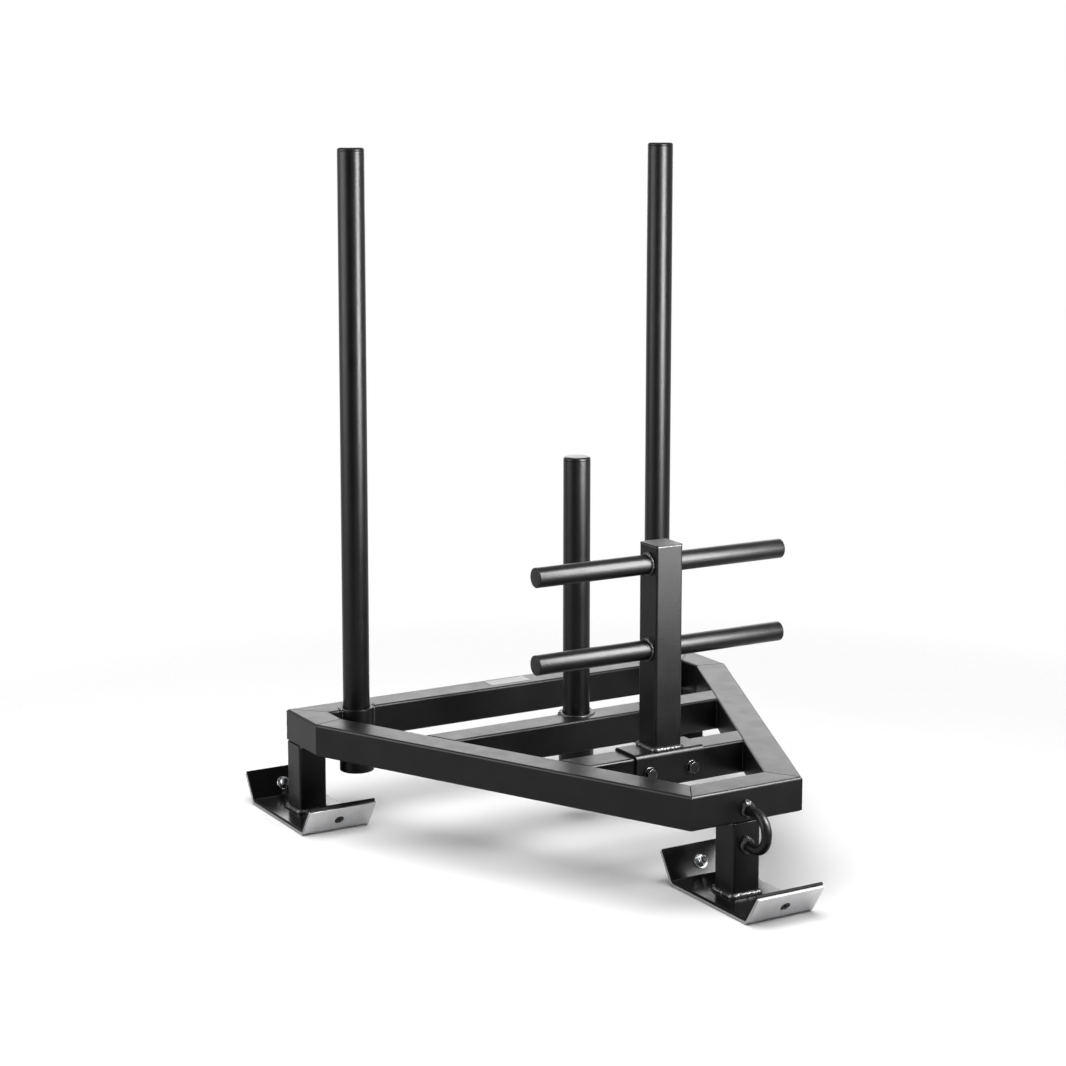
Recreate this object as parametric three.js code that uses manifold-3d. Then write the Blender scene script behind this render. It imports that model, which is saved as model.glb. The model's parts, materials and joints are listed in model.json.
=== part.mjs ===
// Push sled: a six-sided welded tube frame on three bent skids, with two push poles and a weight post that
// stand in sockets, a low handle on a bolted saddle, and a tow eye.
// Millimetres, +Z up. The origin is on the floor under the middle of the sled, and -Y is the towed end.

import * as THREE from 'three';
import { mergeVertices } from 'three/addons/utils/BufferGeometryUtils.js';
import Module from 'manifold-3d';

const wasm = await Module();
wasm.setup();

// Fits shared by all pieces
const SEAT_GAP = 0.3;
const CUT_OVERRUN = 5;
const MERGE_DISTANCE = 0.0001;
const UNIT_LENGTH = 1;

// Faces round a full turn
const POST_FACES = 32;
const BAR_FACES = 28;
const FASTENER_FACES = 14;
const CORNER_ARC_STEPS = 2;
const BEND_ARC_STEPS = 3;

// Frame outline in plan, over the outside of the tubes
const FRAME_WIDTH = 911;
const FRAME_LENGTH = 842;
const CORNER_TUBE_LENGTH = 127.5;
const FRONT_TUBE_LENGTH = 227;

// Square tube of the frame
const FRAME_TUBE_WIDTH = 60;
const FRAME_TUBE_WALL = 3;
const FRAME_TUBE_INSIDE_RADIUS = 1.5;

// Crossbars, from the frame's ends to the middle of the bar
const CENTRE_CROSSBAR_FROM_REAR = 317;
const FRONT_CROSSBAR_FROM_FRONT = 266;

// Legs of square tube
const LEG_LENGTH = 127.5;
const LEG_WIDTH = 55;
const LEG_WALL = 3;
const LEG_INSIDE_RADIUS = 1.5;

// Skids: a wear plate outside, a shoe plate inside, both bent up at their two ends
const SKID_WIDTH = 134;
const SKID_FLAT_LENGTH = 222;
const SKID_FLARE_DEGREES = 57;
const SKID_BEND_RADIUS = 13;
const WEAR_PLATE_THICKNESS = 5;
const WEAR_FLANGE_LENGTH = 61;
const SHOE_THICKNESS = 5;
const SHOE_EDGE_RISE = 2;
const SKID_SCREW_UP_FLANGE = 29;
const SKID_AHEAD_OF_LEG = 10;

// Countersunk screw, washer and nylon-insert nut of a skid
const SKID_SCREW_DIAMETER = 10;
const SKID_SCREW_HEAD_DIAMETER = 18;
const SKID_SCREW_HEAD_DEPTH = 4;
const SKID_SCREW_HEAD_LAND = 0.8;
const SKID_SCREW_KEY_WIDTH = 6;
const SKID_SCREW_KEY_DEPTH = 3.5;
const SKID_WASHER_DIAMETER = 25;
const SKID_WASHER_THICKNESS = 2;
const SKID_NUT_WIDTH = 17;
const SKID_NUT_HEIGHT = 7;
const SKID_NUT_COLLAR_HEIGHT = 3;
const SKID_SCREW_TAIL = 2;

// Sockets of the poles and the post, with a drained floor
const SOCKET_DIAMETER = 65;
const SOCKET_BORE = 52;
const SOCKET_RISE = 2;
const SOCKET_DROP = 60;
const SOCKET_FLOOR = 5;
const SOCKET_DRAIN = 12;
const SOCKET_EDGE = 1.5;

// Push poles and weight post, with their lengths over the cap
const POST_DIAMETER = 50;
const POST_WALL = 3;
const PUSH_POLE_LENGTH = 1160;
const WEIGHT_POST_LENGTH = 598;
const POLE_FROM_FRAME_SIDE = 118.5;
const POLE_SET_IN = 5;
const WEIGHT_POST_SET_IN = 8;

// Caps of the poles and the post
const CAP_HEAD = 6;
const CAP_EDGE = 4.5;
const CAP_SPIGOT_LENGTH = 18;
const CAP_SPIGOT_LEAD = 1.5;
const CAP_EDGE_STEPS = 2;

// Handle post and its two bars
const HANDLE_POST_WIDTH = 55;
const HANDLE_POST_WALL = 3;
const HANDLE_POST_INSIDE_RADIUS = 1.5;
const HANDLE_POST_LENGTH = 365;
const HANDLE_CAP_THICKNESS = 3;
const HANDLE_BAR_DIAMETER = 35;
const HANDLE_BAR_WALL = 2.5;
const HANDLE_BAR_END = 4;
const HANDLE_BAR_EDGE = 1.5;
const HANDLE_BAR_LENGTH = 510;
const HANDLE_BAR_VENT = 6;
const UPPER_BAR_BELOW_TOP = 36;
const HANDLE_BAR_SPACING = 152;

// Saddle plate bent over the front crossbar
const SADDLE_LENGTH = 142;
const SADDLE_THICKNESS = 5;
const SADDLE_INSIDE_RADIUS = 3;
const SADDLE_DEPTH = 55;
const SADDLE_BOLT_SPACING = 88;

// Hex bolt, washers and nut of the saddle
const SADDLE_BOLT_DIAMETER = 12;
const SADDLE_BOLT_HEAD_WIDTH = 19;
const SADDLE_BOLT_HEAD_HEIGHT = 7.5;
const SADDLE_WASHER_DIAMETER = 24;
const SADDLE_WASHER_THICKNESS = 2.5;
const SADDLE_NUT_WIDTH = 19;
const SADDLE_NUT_HEIGHT = 8;
const SADDLE_NUT_COLLAR_HEIGHT = 4;
const SADDLE_BOLT_TAIL = 2;
const HEX_CHAMFER_DEGREES = 30;
const HEX_SIDES = 6;

// Tow eye of round bar
const TOW_EYE_BAR = 18;
const TOW_EYE_BEND_RADIUS = 31;
const TOW_EYE_STRAIGHT = 24;
const TOW_EYE_BELOW_FRAME = 10;
const TOW_EYE_STEPS = 28;
const TOW_EYE_ARC_STEPS = 6;

// Heights and places that follow from the sizes above
const SHOE_BOTTOM = WEAR_PLATE_THICKNESS + SEAT_GAP;
const SHOE_TOP = SHOE_BOTTOM + SHOE_THICKNESS;
const LEG_BOTTOM = SHOE_TOP + SEAT_GAP;
const FRAME_BOTTOM = LEG_BOTTOM + LEG_LENGTH + SEAT_GAP;
const FRAME_TOP = FRAME_BOTTOM + FRAME_TUBE_WIDTH;
const HALF_WIDTH = FRAME_WIDTH / 2;
const FRAME_REAR = FRAME_LENGTH / 2 + SKID_AHEAD_OF_LEG;
const FRAME_FRONT = FRAME_REAR - FRAME_LENGTH;
const HALF_FRONT = FRONT_TUBE_LENGTH / 2;
const LEG_X = HALF_WIDTH - LEG_WIDTH / 2;
const REAR_LEG_Y = FRAME_REAR - LEG_WIDTH / 2;
const FRONT_LEG_Y = FRAME_FRONT + LEG_WIDTH / 2;
const CENTRE_CROSSBAR_Y = FRAME_REAR - CENTRE_CROSSBAR_FROM_REAR;
const FRONT_CROSSBAR_Y = FRAME_FRONT + FRONT_CROSSBAR_FROM_FRONT;
const POLE_X = HALF_WIDTH - POLE_FROM_FRAME_SIDE;
const POLE_Y = FRAME_REAR - FRAME_TUBE_WIDTH + POLE_SET_IN;
const WEIGHT_POST_Y = CENTRE_CROSSBAR_Y + FRAME_TUBE_WIDTH / 2 - WEIGHT_POST_SET_IN;
const POST_BOTTOM = FRAME_BOTTOM - SOCKET_DROP + SOCKET_FLOOR + SEAT_GAP;
const SADDLE_TOP = FRAME_TOP + SEAT_GAP + SADDLE_THICKNESS;
const HANDLE_FOOT = SADDLE_TOP + SEAT_GAP;
const UPPER_BAR_UP_POST = HANDLE_POST_LENGTH - UPPER_BAR_BELOW_TOP;
const LOWER_BAR_UP_POST = UPPER_BAR_UP_POST - HANDLE_BAR_SPACING;
const SKID_FLARE = THREE.MathUtils.degToRad(SKID_FLARE_DEGREES);
const HEX_CHAMFER = THREE.MathUtils.degToRad(HEX_CHAMFER_DEGREES);
const QUARTER_TURN = Math.PI / 2;

const X_AXIS = new THREE.Vector3(1, 0, 0);
const Y_AXIS = new THREE.Vector3(0, 1, 0);
const Z_AXIS = new THREE.Vector3(0, 0, 1);

// Materials
function blackCoat() {
  return new THREE.MeshStandardMaterial({ color: 0x1c1c1d, roughness: 0.45, metalness: 0.2 });
}

function brushedSteel() {
  return new THREE.MeshStandardMaterial({ color: 0xc4c4c6, roughness: 0.35, metalness: 1 });
}

function zincPlate() {
  return new THREE.MeshStandardMaterial({ color: 0xb5b7ba, roughness: 0.3, metalness: 1 });
}

function blackOxide() {
  return new THREE.MeshStandardMaterial({ color: 0x2a2a2b, roughness: 0.5, metalness: 0.8 });
}

// Joining and cutting
function toSolid(geometry) {
  const plain = geometry.clone();
  plain.deleteAttribute('normal');
  plain.deleteAttribute('uv');
  const shared = mergeVertices(plain, MERGE_DISTANCE);
  const vertProperties = new Float32Array(shared.attributes.position.array);
  const triVerts = new Uint32Array(shared.index.array);
  return new wasm.Manifold(new wasm.Mesh({ numProp: 3, vertProperties, triVerts }));
}

function toGeometry(solid) {
  const mesh = solid.getMesh();
  const geometry = new THREE.BufferGeometry();
  geometry.setAttribute('position', new THREE.BufferAttribute(new Float32Array(mesh.vertProperties), 3));
  geometry.setIndex(new THREE.BufferAttribute(new Uint32Array(mesh.triVerts), 1));
  return geometry;
}

function cut(geometry, tools) {
  let solid = toSolid(geometry);
  for (const tool of tools) {
    solid = solid.subtract(toSolid(tool));
  }
  return toGeometry(solid);
}

function join(first, second) {
  return toGeometry(toSolid(first).add(toSolid(second)));
}

function common(first, second) {
  return toGeometry(toSolid(first).intersect(toSolid(second)));
}

// Named pieces and their places
function piece(name, geometry, material) {
  const mesh = new THREE.Mesh(geometry, material);
  mesh.name = name;
  return mesh;
}

function turned(object, origin, across, up, along) {
  object.quaternion.setFromRotationMatrix(new THREE.Matrix4().makeBasis(across, up, along));
  object.position.copy(origin);
  object.updateMatrixWorld(true);
  return object;
}

// Round forms about the Z axis
function revolve(profile, faces) {
  const points = profile.map(([radius, height]) => new THREE.Vector2(radius, height));
  return new THREE.LatheGeometry(points, faces).rotateX(QUARTER_TURN);
}

function rod(radius, bottom, top, faces) {
  return revolve([[0, bottom], [radius, bottom], [radius, top], [0, top]], faces);
}

function ring(inner, outer, bottom, top, faces) {
  const profile = [[inner, bottom], [outer, bottom], [outer, top], [inner, top], [inner, bottom]];
  return revolve(profile, faces);
}

// Square tube with rounded corners: its section runs from 0 to its width both ways
function roundedSquare(path, low, high, radius) {
  path.absarc(high - radius, low + radius, radius, -QUARTER_TURN, 0, false);
  path.absarc(high - radius, high - radius, radius, 0, QUARTER_TURN, false);
  path.absarc(low + radius, high - radius, radius, QUARTER_TURN, Math.PI, false);
  path.absarc(low + radius, low + radius, radius, Math.PI, Math.PI + QUARTER_TURN, false);
  return path;
}

function tubeSection(width, wall, insideRadius) {
  const section = roundedSquare(new THREE.Shape(), 0, width, insideRadius + wall);
  section.holes.push(roundedSquare(new THREE.Path(), wall, width - wall, insideRadius));
  return section;
}

function extrude(section, length, arcSteps) {
  const options = { depth: length, bevelEnabled: false, curveSegments: arcSteps };
  return new THREE.ExtrudeGeometry(section, options);
}

// A tube whose two ends are cut on a slant: each end's place depends on the distance across the tube
function slantedTube(startAt, endAt) {
  const section = tubeSection(FRAME_TUBE_WIDTH, FRAME_TUBE_WALL, FRAME_TUBE_INSIDE_RADIUS);
  const geometry = extrude(section, UNIT_LENGTH, CORNER_ARC_STEPS);
  const position = geometry.attributes.position;
  for (let i = 0; i < position.count; i += 1) {
    const placeEnd = position.getZ(i) === 0 ? startAt : endAt;
    position.setZ(i, placeEnd(position.getX(i)));
  }
  return geometry;
}

// Frame: six mitred tubes round the outline, listed against the clock from above
const outline = [
  new THREE.Vector3(-HALF_WIDTH, FRAME_REAR, FRAME_BOTTOM),
  new THREE.Vector3(-HALF_WIDTH, FRAME_REAR - CORNER_TUBE_LENGTH, FRAME_BOTTOM),
  new THREE.Vector3(-HALF_FRONT, FRAME_FRONT, FRAME_BOTTOM),
  new THREE.Vector3(HALF_FRONT, FRAME_FRONT, FRAME_BOTTOM),
  new THREE.Vector3(HALF_WIDTH, FRAME_REAR - CORNER_TUBE_LENGTH, FRAME_BOTTOM),
  new THREE.Vector3(HALF_WIDTH, FRAME_REAR, FRAME_BOTTOM),
];

const outlineTubeNames = [
  'left_corner_tube',
  'left_side_tube',
  'front_tube',
  'right_side_tube',
  'right_corner_tube',
  'rear_tube',
];

function outlineCorner(index) {
  return outline[(index + outline.length) % outline.length];
}

function halfCornerAngle(index) {
  const corner = outlineCorner(index);
  const back = outlineCorner(index - 1).clone().sub(corner);
  const ahead = outlineCorner(index + 1).clone().sub(corner);
  return back.angleTo(ahead) / 2;
}

// How far along its tube a mitre plane lies, at a distance across the tube from its outer face
function mitreDepth(index, across) {
  const half = halfCornerAngle(index);
  return across / Math.tan(half) + SEAT_GAP / 2 / Math.sin(half);
}

function outlineTube(index) {
  const start = outlineCorner(index);
  const along = outlineCorner(index + 1).clone().sub(start);
  const length = along.length();
  along.normalize();
  const inward = new THREE.Vector3().crossVectors(Z_AXIS, along);
  const startAt = (across) => mitreDepth(index, across);
  const endAt = (across) => length - mitreDepth(index + 1, across);
  const tube = piece(outlineTubeNames[index], slantedTube(startAt, endAt), blackCoat());
  return turned(tube, start, inward, Z_AXIS, along);
}

// Half the width between the side tubes' inner faces, at a place along the sled
const sideRun = outline[2].clone().sub(outline[1]).normalize();
const SIDE_SLOPE = -sideRun.x / sideRun.y;
const SIDE_TUBE_ACROSS = FRAME_TUBE_WIDTH / -sideRun.y;
const CROSSBAR_END_GAP = SEAT_GAP / -sideRun.y;

function insideHalfWidth(y) {
  return HALF_WIDTH + (y - outline[1].y) * SIDE_SLOPE - SIDE_TUBE_ACROSS - CROSSBAR_END_GAP;
}

function crossbar(name, middleY) {
  const frontFace = middleY - FRAME_TUBE_WIDTH / 2;
  const startAt = (across) => -insideHalfWidth(frontFace + across);
  const endAt = (across) => insideHalfWidth(frontFace + across);
  const bar = piece(name, slantedTube(startAt, endAt), blackCoat());
  return turned(bar, new THREE.Vector3(0, frontFace, FRAME_BOTTOM), Y_AXIS, Z_AXIS, X_AXIS);
}

// Notches for the round sockets, cut through a tube from above to below
function notch(tube, places) {
  const radius = SOCKET_DIAMETER / 2 + SEAT_GAP;
  const tools = places.map(([x, y]) => {
    const local = tube.worldToLocal(new THREE.Vector3(x, y, FRAME_BOTTOM));
    const tool = rod(radius, -CUT_OVERRUN, FRAME_TUBE_WIDTH + CUT_OVERRUN, POST_FACES);
    return tool.rotateX(-QUARTER_TURN).translate(local.x, local.y, local.z);
  });
  tube.geometry = cut(tube.geometry, tools);
  return tube;
}

// Holes along the sled for the saddle's bolts, in a piece whose first local axis is +Y and third is +X
function drillForBolts(mesh, length) {
  const radius = SADDLE_BOLT_DIAMETER / 2 + SEAT_GAP;
  const boltHeight = FRAME_BOTTOM + FRAME_TUBE_WIDTH / 2;
  const tools = [-1, 1].map((side) => {
    const place = new THREE.Vector3(side * SADDLE_BOLT_SPACING / 2, FRONT_CROSSBAR_Y, boltHeight);
    const local = mesh.worldToLocal(place);
    const tool = rod(radius, -length / 2, length / 2, FASTENER_FACES);
    return tool.rotateY(QUARTER_TURN).translate(local.x, local.y, local.z);
  });
  mesh.geometry = cut(mesh.geometry, tools);
  return mesh;
}

const polePlaces = { left: [-POLE_X, POLE_Y], right: [POLE_X, POLE_Y] };
const weightPostPlace = [0, WEIGHT_POST_Y];

function frame() {
  const group = new THREE.Group();
  const tubes = outlineTubeNames.map((name, index) => outlineTube(index));
  notch(tubes[outlineTubeNames.indexOf('rear_tube')], Object.values(polePlaces));
  const centre = notch(crossbar('centre_crossbar', CENTRE_CROSSBAR_Y), [weightPostPlace]);
  const front = crossbar('front_crossbar', FRONT_CROSSBAR_Y);
  drillForBolts(front, FRAME_TUBE_WIDTH + 2 * CUT_OVERRUN);
  group.add(...tubes, centre, front);
  return group;
}

// Socket: a round cup with a drained floor, let half way into the tube that carries it
function socket(name, [x, y]) {
  const bottom = FRAME_BOTTOM - SOCKET_DROP;
  const top = FRAME_TOP + SOCKET_RISE;
  const outer = SOCKET_DIAMETER / 2;
  const profile = [
    [SOCKET_DRAIN / 2, bottom],
    [outer - SOCKET_EDGE, bottom],
    [outer, bottom + SOCKET_EDGE],
    [outer, top - SOCKET_EDGE],
    [outer - SOCKET_EDGE, top],
    [SOCKET_BORE / 2, top],
    [SOCKET_BORE / 2, bottom + SOCKET_FLOOR],
    [SOCKET_DRAIN / 2, bottom + SOCKET_FLOOR],
    [SOCKET_DRAIN / 2, bottom],
  ];
  const cup = piece(name, revolve(profile, POST_FACES), blackCoat());
  cup.position.set(x, y, 0);
  return cup;
}

// Round post: a tube that stands on its socket's floor, and a cap with a spigot inside the tube
function roundPost(name, capName, [x, y], length) {
  const group = new THREE.Group();
  const tubeTop = length - CAP_HEAD - SEAT_GAP;
  const bore = POST_DIAMETER / 2 - POST_WALL;
  const tubeShape = ring(bore, POST_DIAMETER / 2, 0, tubeTop, POST_FACES);
  const cap = piece(capName, postCap(bore - SEAT_GAP), blackCoat());
  cap.position.z = length - CAP_HEAD;
  group.add(piece(name, tubeShape, blackCoat()), cap);
  group.position.set(x, y, POST_BOTTOM);
  return group;
}

function postCap(spigotRadius) {
  const outer = POST_DIAMETER / 2;
  const profile = [
    [0, -CAP_SPIGOT_LENGTH],
    [spigotRadius - CAP_SPIGOT_LEAD, -CAP_SPIGOT_LENGTH],
    [spigotRadius, CAP_SPIGOT_LEAD - CAP_SPIGOT_LENGTH],
    [spigotRadius, 0],
  ];
  for (let step = 0; step <= CAP_EDGE_STEPS; step += 1) {
    const angle = QUARTER_TURN * step / CAP_EDGE_STEPS;
    const radius = outer - CAP_EDGE + CAP_EDGE * Math.cos(angle);
    profile.push([radius, CAP_HEAD - CAP_EDGE + CAP_EDGE * Math.sin(angle)]);
  }
  profile.splice(profile.length - CAP_EDGE_STEPS - 1, 0, [outer, 0]);
  profile.push([0, CAP_HEAD]);
  return revolve(profile, POST_FACES);
}

// Leg: square tube between shoe and frame
function leg(name, x, y) {
  const section = tubeSection(LEG_WIDTH, LEG_WALL, LEG_INSIDE_RADIUS);
  const tube = piece(name, extrude(section, LEG_LENGTH, CORNER_ARC_STEPS), blackCoat());
  tube.position.set(x - LEG_WIDTH / 2, y - LEG_WIDTH / 2, LEG_BOTTOM);
  return tube;
}

// Bent plate of a skid, between two distances in from the skid's outer surface
function skidPlateSection(outerDepth, innerDepth, flangeLength) {
  const tangent = SKID_BEND_RADIUS * Math.tan(SKID_FLARE / 2);
  const bendY = SKID_FLAT_LENGTH / 2 - tangent;
  const down = -QUARTER_TURN;
  const flangeEnd = (side, depth) => [
    side * (SKID_FLAT_LENGTH / 2 + flangeLength * Math.cos(SKID_FLARE) - depth * Math.sin(SKID_FLARE)),
    flangeLength * Math.sin(SKID_FLARE) + depth * Math.cos(SKID_FLARE),
  ];
  const outerRadius = SKID_BEND_RADIUS - outerDepth;
  const innerRadius = SKID_BEND_RADIUS - innerDepth;
  const section = new THREE.Shape();
  section.moveTo(...flangeEnd(-1, innerDepth));
  section.lineTo(...flangeEnd(-1, outerDepth));
  section.absarc(-bendY, SKID_BEND_RADIUS, outerRadius, down - SKID_FLARE, down, false);
  section.absarc(bendY, SKID_BEND_RADIUS, outerRadius, down, down + SKID_FLARE, false);
  section.lineTo(...flangeEnd(1, outerDepth));
  section.lineTo(...flangeEnd(1, innerDepth));
  section.absarc(bendY, SKID_BEND_RADIUS, innerRadius, down + SKID_FLARE, down, true);
  section.absarc(-bendY, SKID_BEND_RADIUS, innerRadius, down, down - SKID_FLARE, true);
  section.closePath();
  return section;
}

// Outline of a countersunk screw, or of its hole with a margin all round
function screwProfile(margin, headTop, tail) {
  const head = SKID_SCREW_HEAD_DIAMETER / 2 + margin;
  const shank = SKID_SCREW_DIAMETER / 2 + margin;
  return [
    [0, tail],
    [shank, tail],
    [shank, -SKID_SCREW_HEAD_DEPTH],
    [head, -SKID_SCREW_HEAD_LAND],
    [head, headTop],
    [0, headTop],
  ];
}

const SKID_GRIP = SHOE_TOP + SEAT_GAP;
const SKID_NUT_FACE = SKID_GRIP + SKID_WASHER_THICKNESS + SEAT_GAP;
const SKID_SCREW_LENGTH = SKID_NUT_FACE + SKID_NUT_HEIGHT + SKID_NUT_COLLAR_HEIGHT + SKID_SCREW_TAIL;

function skidScrew(name) {
  const headTop = -SEAT_GAP;
  const profile = screwProfile(0, headTop, -SKID_SCREW_LENGTH);
  const key = hexPrism(SKID_SCREW_KEY_WIDTH, headTop - SKID_SCREW_KEY_DEPTH, headTop + CUT_OVERRUN);
  return piece(name, cut(revolve(profile, FASTENER_FACES), [key]), blackOxide());
}

// Place of a skid's screw on its flange: the third axis points out of the sled
function onFlange(object, side) {
  const upFlange = new THREE.Vector3(0, side * Math.cos(SKID_FLARE), Math.sin(SKID_FLARE));
  const outward = new THREE.Vector3(0, side * Math.sin(SKID_FLARE), -Math.cos(SKID_FLARE));
  const across = new THREE.Vector3().crossVectors(upFlange, outward);
  const origin = new THREE.Vector3(0, side * SKID_FLAT_LENGTH / 2, 0);
  origin.addScaledVector(upFlange, SKID_SCREW_UP_FLANGE);
  return turned(object, origin, across, upFlange, outward);
}

function skidPlate(name, section, material) {
  const plate = extrude(section, SKID_WIDTH, BEND_ARC_STEPS).translate(0, 0, -SKID_WIDTH / 2);
  const mesh = turned(piece(name, plate, material), new THREE.Vector3(), Y_AXIS, Z_AXIS, X_AXIS);
  const tools = [-1, 1].map((side) => {
    const shape = revolve(screwProfile(SEAT_GAP, CUT_OVERRUN, -SKID_GRIP - CUT_OVERRUN), FASTENER_FACES);
    const holder = onFlange(new THREE.Object3D(), side);
    const toPlate = mesh.matrixWorld.clone().invert().multiply(holder.matrixWorld);
    return shape.applyMatrix4(toPlate);
  });
  mesh.geometry = cut(mesh.geometry, tools);
  return mesh;
}

function skid(prefix, x, y) {
  const group = new THREE.Group();
  const wear = skidPlateSection(0, WEAR_PLATE_THICKNESS, WEAR_FLANGE_LENGTH);
  const shoe = skidPlateSection(SHOE_BOTTOM, SHOE_TOP, WEAR_FLANGE_LENGTH + SHOE_EDGE_RISE);
  group.add(skidPlate(`${prefix}_wear_plate`, wear, brushedSteel()));
  group.add(skidPlate(`${prefix}_shoe`, shoe, blackCoat()));
  for (const [end, side] of [['front', -1], ['rear', 1]]) {
    const fasteners = new THREE.Group();
    const bore = SKID_SCREW_DIAMETER / 2 + SEAT_GAP;
    const washer = ring(bore, SKID_WASHER_DIAMETER / 2, 0, SKID_WASHER_THICKNESS, FASTENER_FACES);
    washer.translate(0, 0, -SKID_GRIP - SKID_WASHER_THICKNESS);
    const nut = lockNut(bore, SKID_NUT_WIDTH, SKID_NUT_HEIGHT, SKID_NUT_COLLAR_HEIGHT);
    nut.translate(0, 0, -SKID_NUT_FACE);
    fasteners.add(skidScrew(`${prefix}_skid_${end}_screw`));
    fasteners.add(piece(`${prefix}_skid_${end}_washer`, washer, zincPlate()));
    fasteners.add(piece(`${prefix}_skid_${end}_nut`, nut, zincPlate()));
    group.add(onFlange(fasteners, side));
  }
  group.position.set(x, y, 0);
  return group;
}

// Hex forms about the Z axis
function hexPrism(acrossFlats, bottom, top) {
  return rod(acrossFlats / 2 / Math.cos(Math.PI / HEX_SIDES), bottom, top, HEX_SIDES);
}

// A hex with its far corners turned off to a cone, from 0 to a height up
function chamferedHex(acrossFlats, height) {
  const reach = acrossFlats;
  const drop = (reach - acrossFlats / 2) * Math.tan(HEX_CHAMFER);
  const envelope = [
    [0, -CUT_OVERRUN],
    [reach, -CUT_OVERRUN],
    [reach, height - drop],
    [acrossFlats / 2, height],
    [0, height],
  ];
  return common(hexPrism(acrossFlats, 0, height + CUT_OVERRUN), revolve(envelope, FASTENER_FACES));
}

// Nylon-insert nut that hangs down from 0: its hex first, then its round collar
function lockNut(bore, acrossFlats, height, collarHeight) {
  const collar = acrossFlats / 2 - collarHeight / 4;
  const collarProfile = [
    [0, height / 2],
    [collar, height / 2],
    [collar, height + collarHeight / 2],
    [collar - collarHeight / 2, height + collarHeight],
    [0, height + collarHeight],
  ];
  const body = join(chamferedHex(acrossFlats, height), revolve(collarProfile, FASTENER_FACES));
  const hole = rod(bore, -CUT_OVERRUN, height + collarHeight + CUT_OVERRUN, FASTENER_FACES);
  return cut(body, [hole]).rotateX(Math.PI);
}

// Tow eye: round bar bent to a half ring with two straight ends, in the plane x = 0
class TowEyeLine extends THREE.Curve {
  getPoint(t) {
    const bend = Math.PI * TOW_EYE_BEND_RADIUS;
    const travelled = t * (2 * TOW_EYE_STRAIGHT + bend);
    if (travelled <= TOW_EYE_STRAIGHT) {
      return new THREE.Vector3(0, -travelled, TOW_EYE_BEND_RADIUS);
    }
    if (travelled >= TOW_EYE_STRAIGHT + bend) {
      return new THREE.Vector3(0, travelled - bend - 2 * TOW_EYE_STRAIGHT, -TOW_EYE_BEND_RADIUS);
    }
    const angle = (travelled - TOW_EYE_STRAIGHT) / TOW_EYE_BEND_RADIUS;
    const y = -TOW_EYE_STRAIGHT - TOW_EYE_BEND_RADIUS * Math.sin(angle);
    return new THREE.Vector3(0, y, TOW_EYE_BEND_RADIUS * Math.cos(angle));
  }
}

function towEye() {
  const section = new THREE.Shape().absarc(0, 0, TOW_EYE_BAR / 2, 0, 2 * Math.PI, false);
  const options = {
    steps: TOW_EYE_STEPS,
    bevelEnabled: false,
    curveSegments: TOW_EYE_ARC_STEPS,
    extrudePath: new TowEyeLine(),
  };
  const eye = piece('tow_eye', new THREE.ExtrudeGeometry(section, options), blackCoat());
  eye.position.set(0, FRAME_FRONT - SEAT_GAP, FRAME_BOTTOM - TOW_EYE_BELOW_FRAME);
  return eye;
}

// Saddle: a plate bent down over the front crossbar
function saddle() {
  const halfInside = FRAME_TUBE_WIDTH / 2 + SEAT_GAP;
  const halfOutside = halfInside + SADDLE_THICKNESS;
  const outsideRadius = SADDLE_INSIDE_RADIUS + SADDLE_THICKNESS;
  const section = new THREE.Shape();
  section.moveTo(-halfOutside, -SADDLE_DEPTH);
  section.lineTo(-halfInside, -SADDLE_DEPTH);
  const insideTop = -SADDLE_THICKNESS - SADDLE_INSIDE_RADIUS;
  const insideEdge = halfInside - SADDLE_INSIDE_RADIUS;
  section.absarc(-insideEdge, insideTop, SADDLE_INSIDE_RADIUS, Math.PI, QUARTER_TURN, true);
  section.absarc(insideEdge, insideTop, SADDLE_INSIDE_RADIUS, QUARTER_TURN, 0, true);
  section.lineTo(halfInside, -SADDLE_DEPTH);
  section.lineTo(halfOutside, -SADDLE_DEPTH);
  section.absarc(halfOutside - outsideRadius, -outsideRadius, outsideRadius, 0, QUARTER_TURN, false);
  section.absarc(outsideRadius - halfOutside, -outsideRadius, outsideRadius, QUARTER_TURN, Math.PI, false);
  section.closePath();
  const plate = extrude(section, SADDLE_LENGTH, BEND_ARC_STEPS).translate(0, 0, -SADDLE_LENGTH / 2);
  const mesh = piece('handle_saddle', plate, blackCoat());
  turned(mesh, new THREE.Vector3(0, FRONT_CROSSBAR_Y, SADDLE_TOP), Y_AXIS, Z_AXIS, X_AXIS);
  return drillForBolts(mesh, 2 * halfOutside + 2 * CUT_OVERRUN);
}

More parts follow.
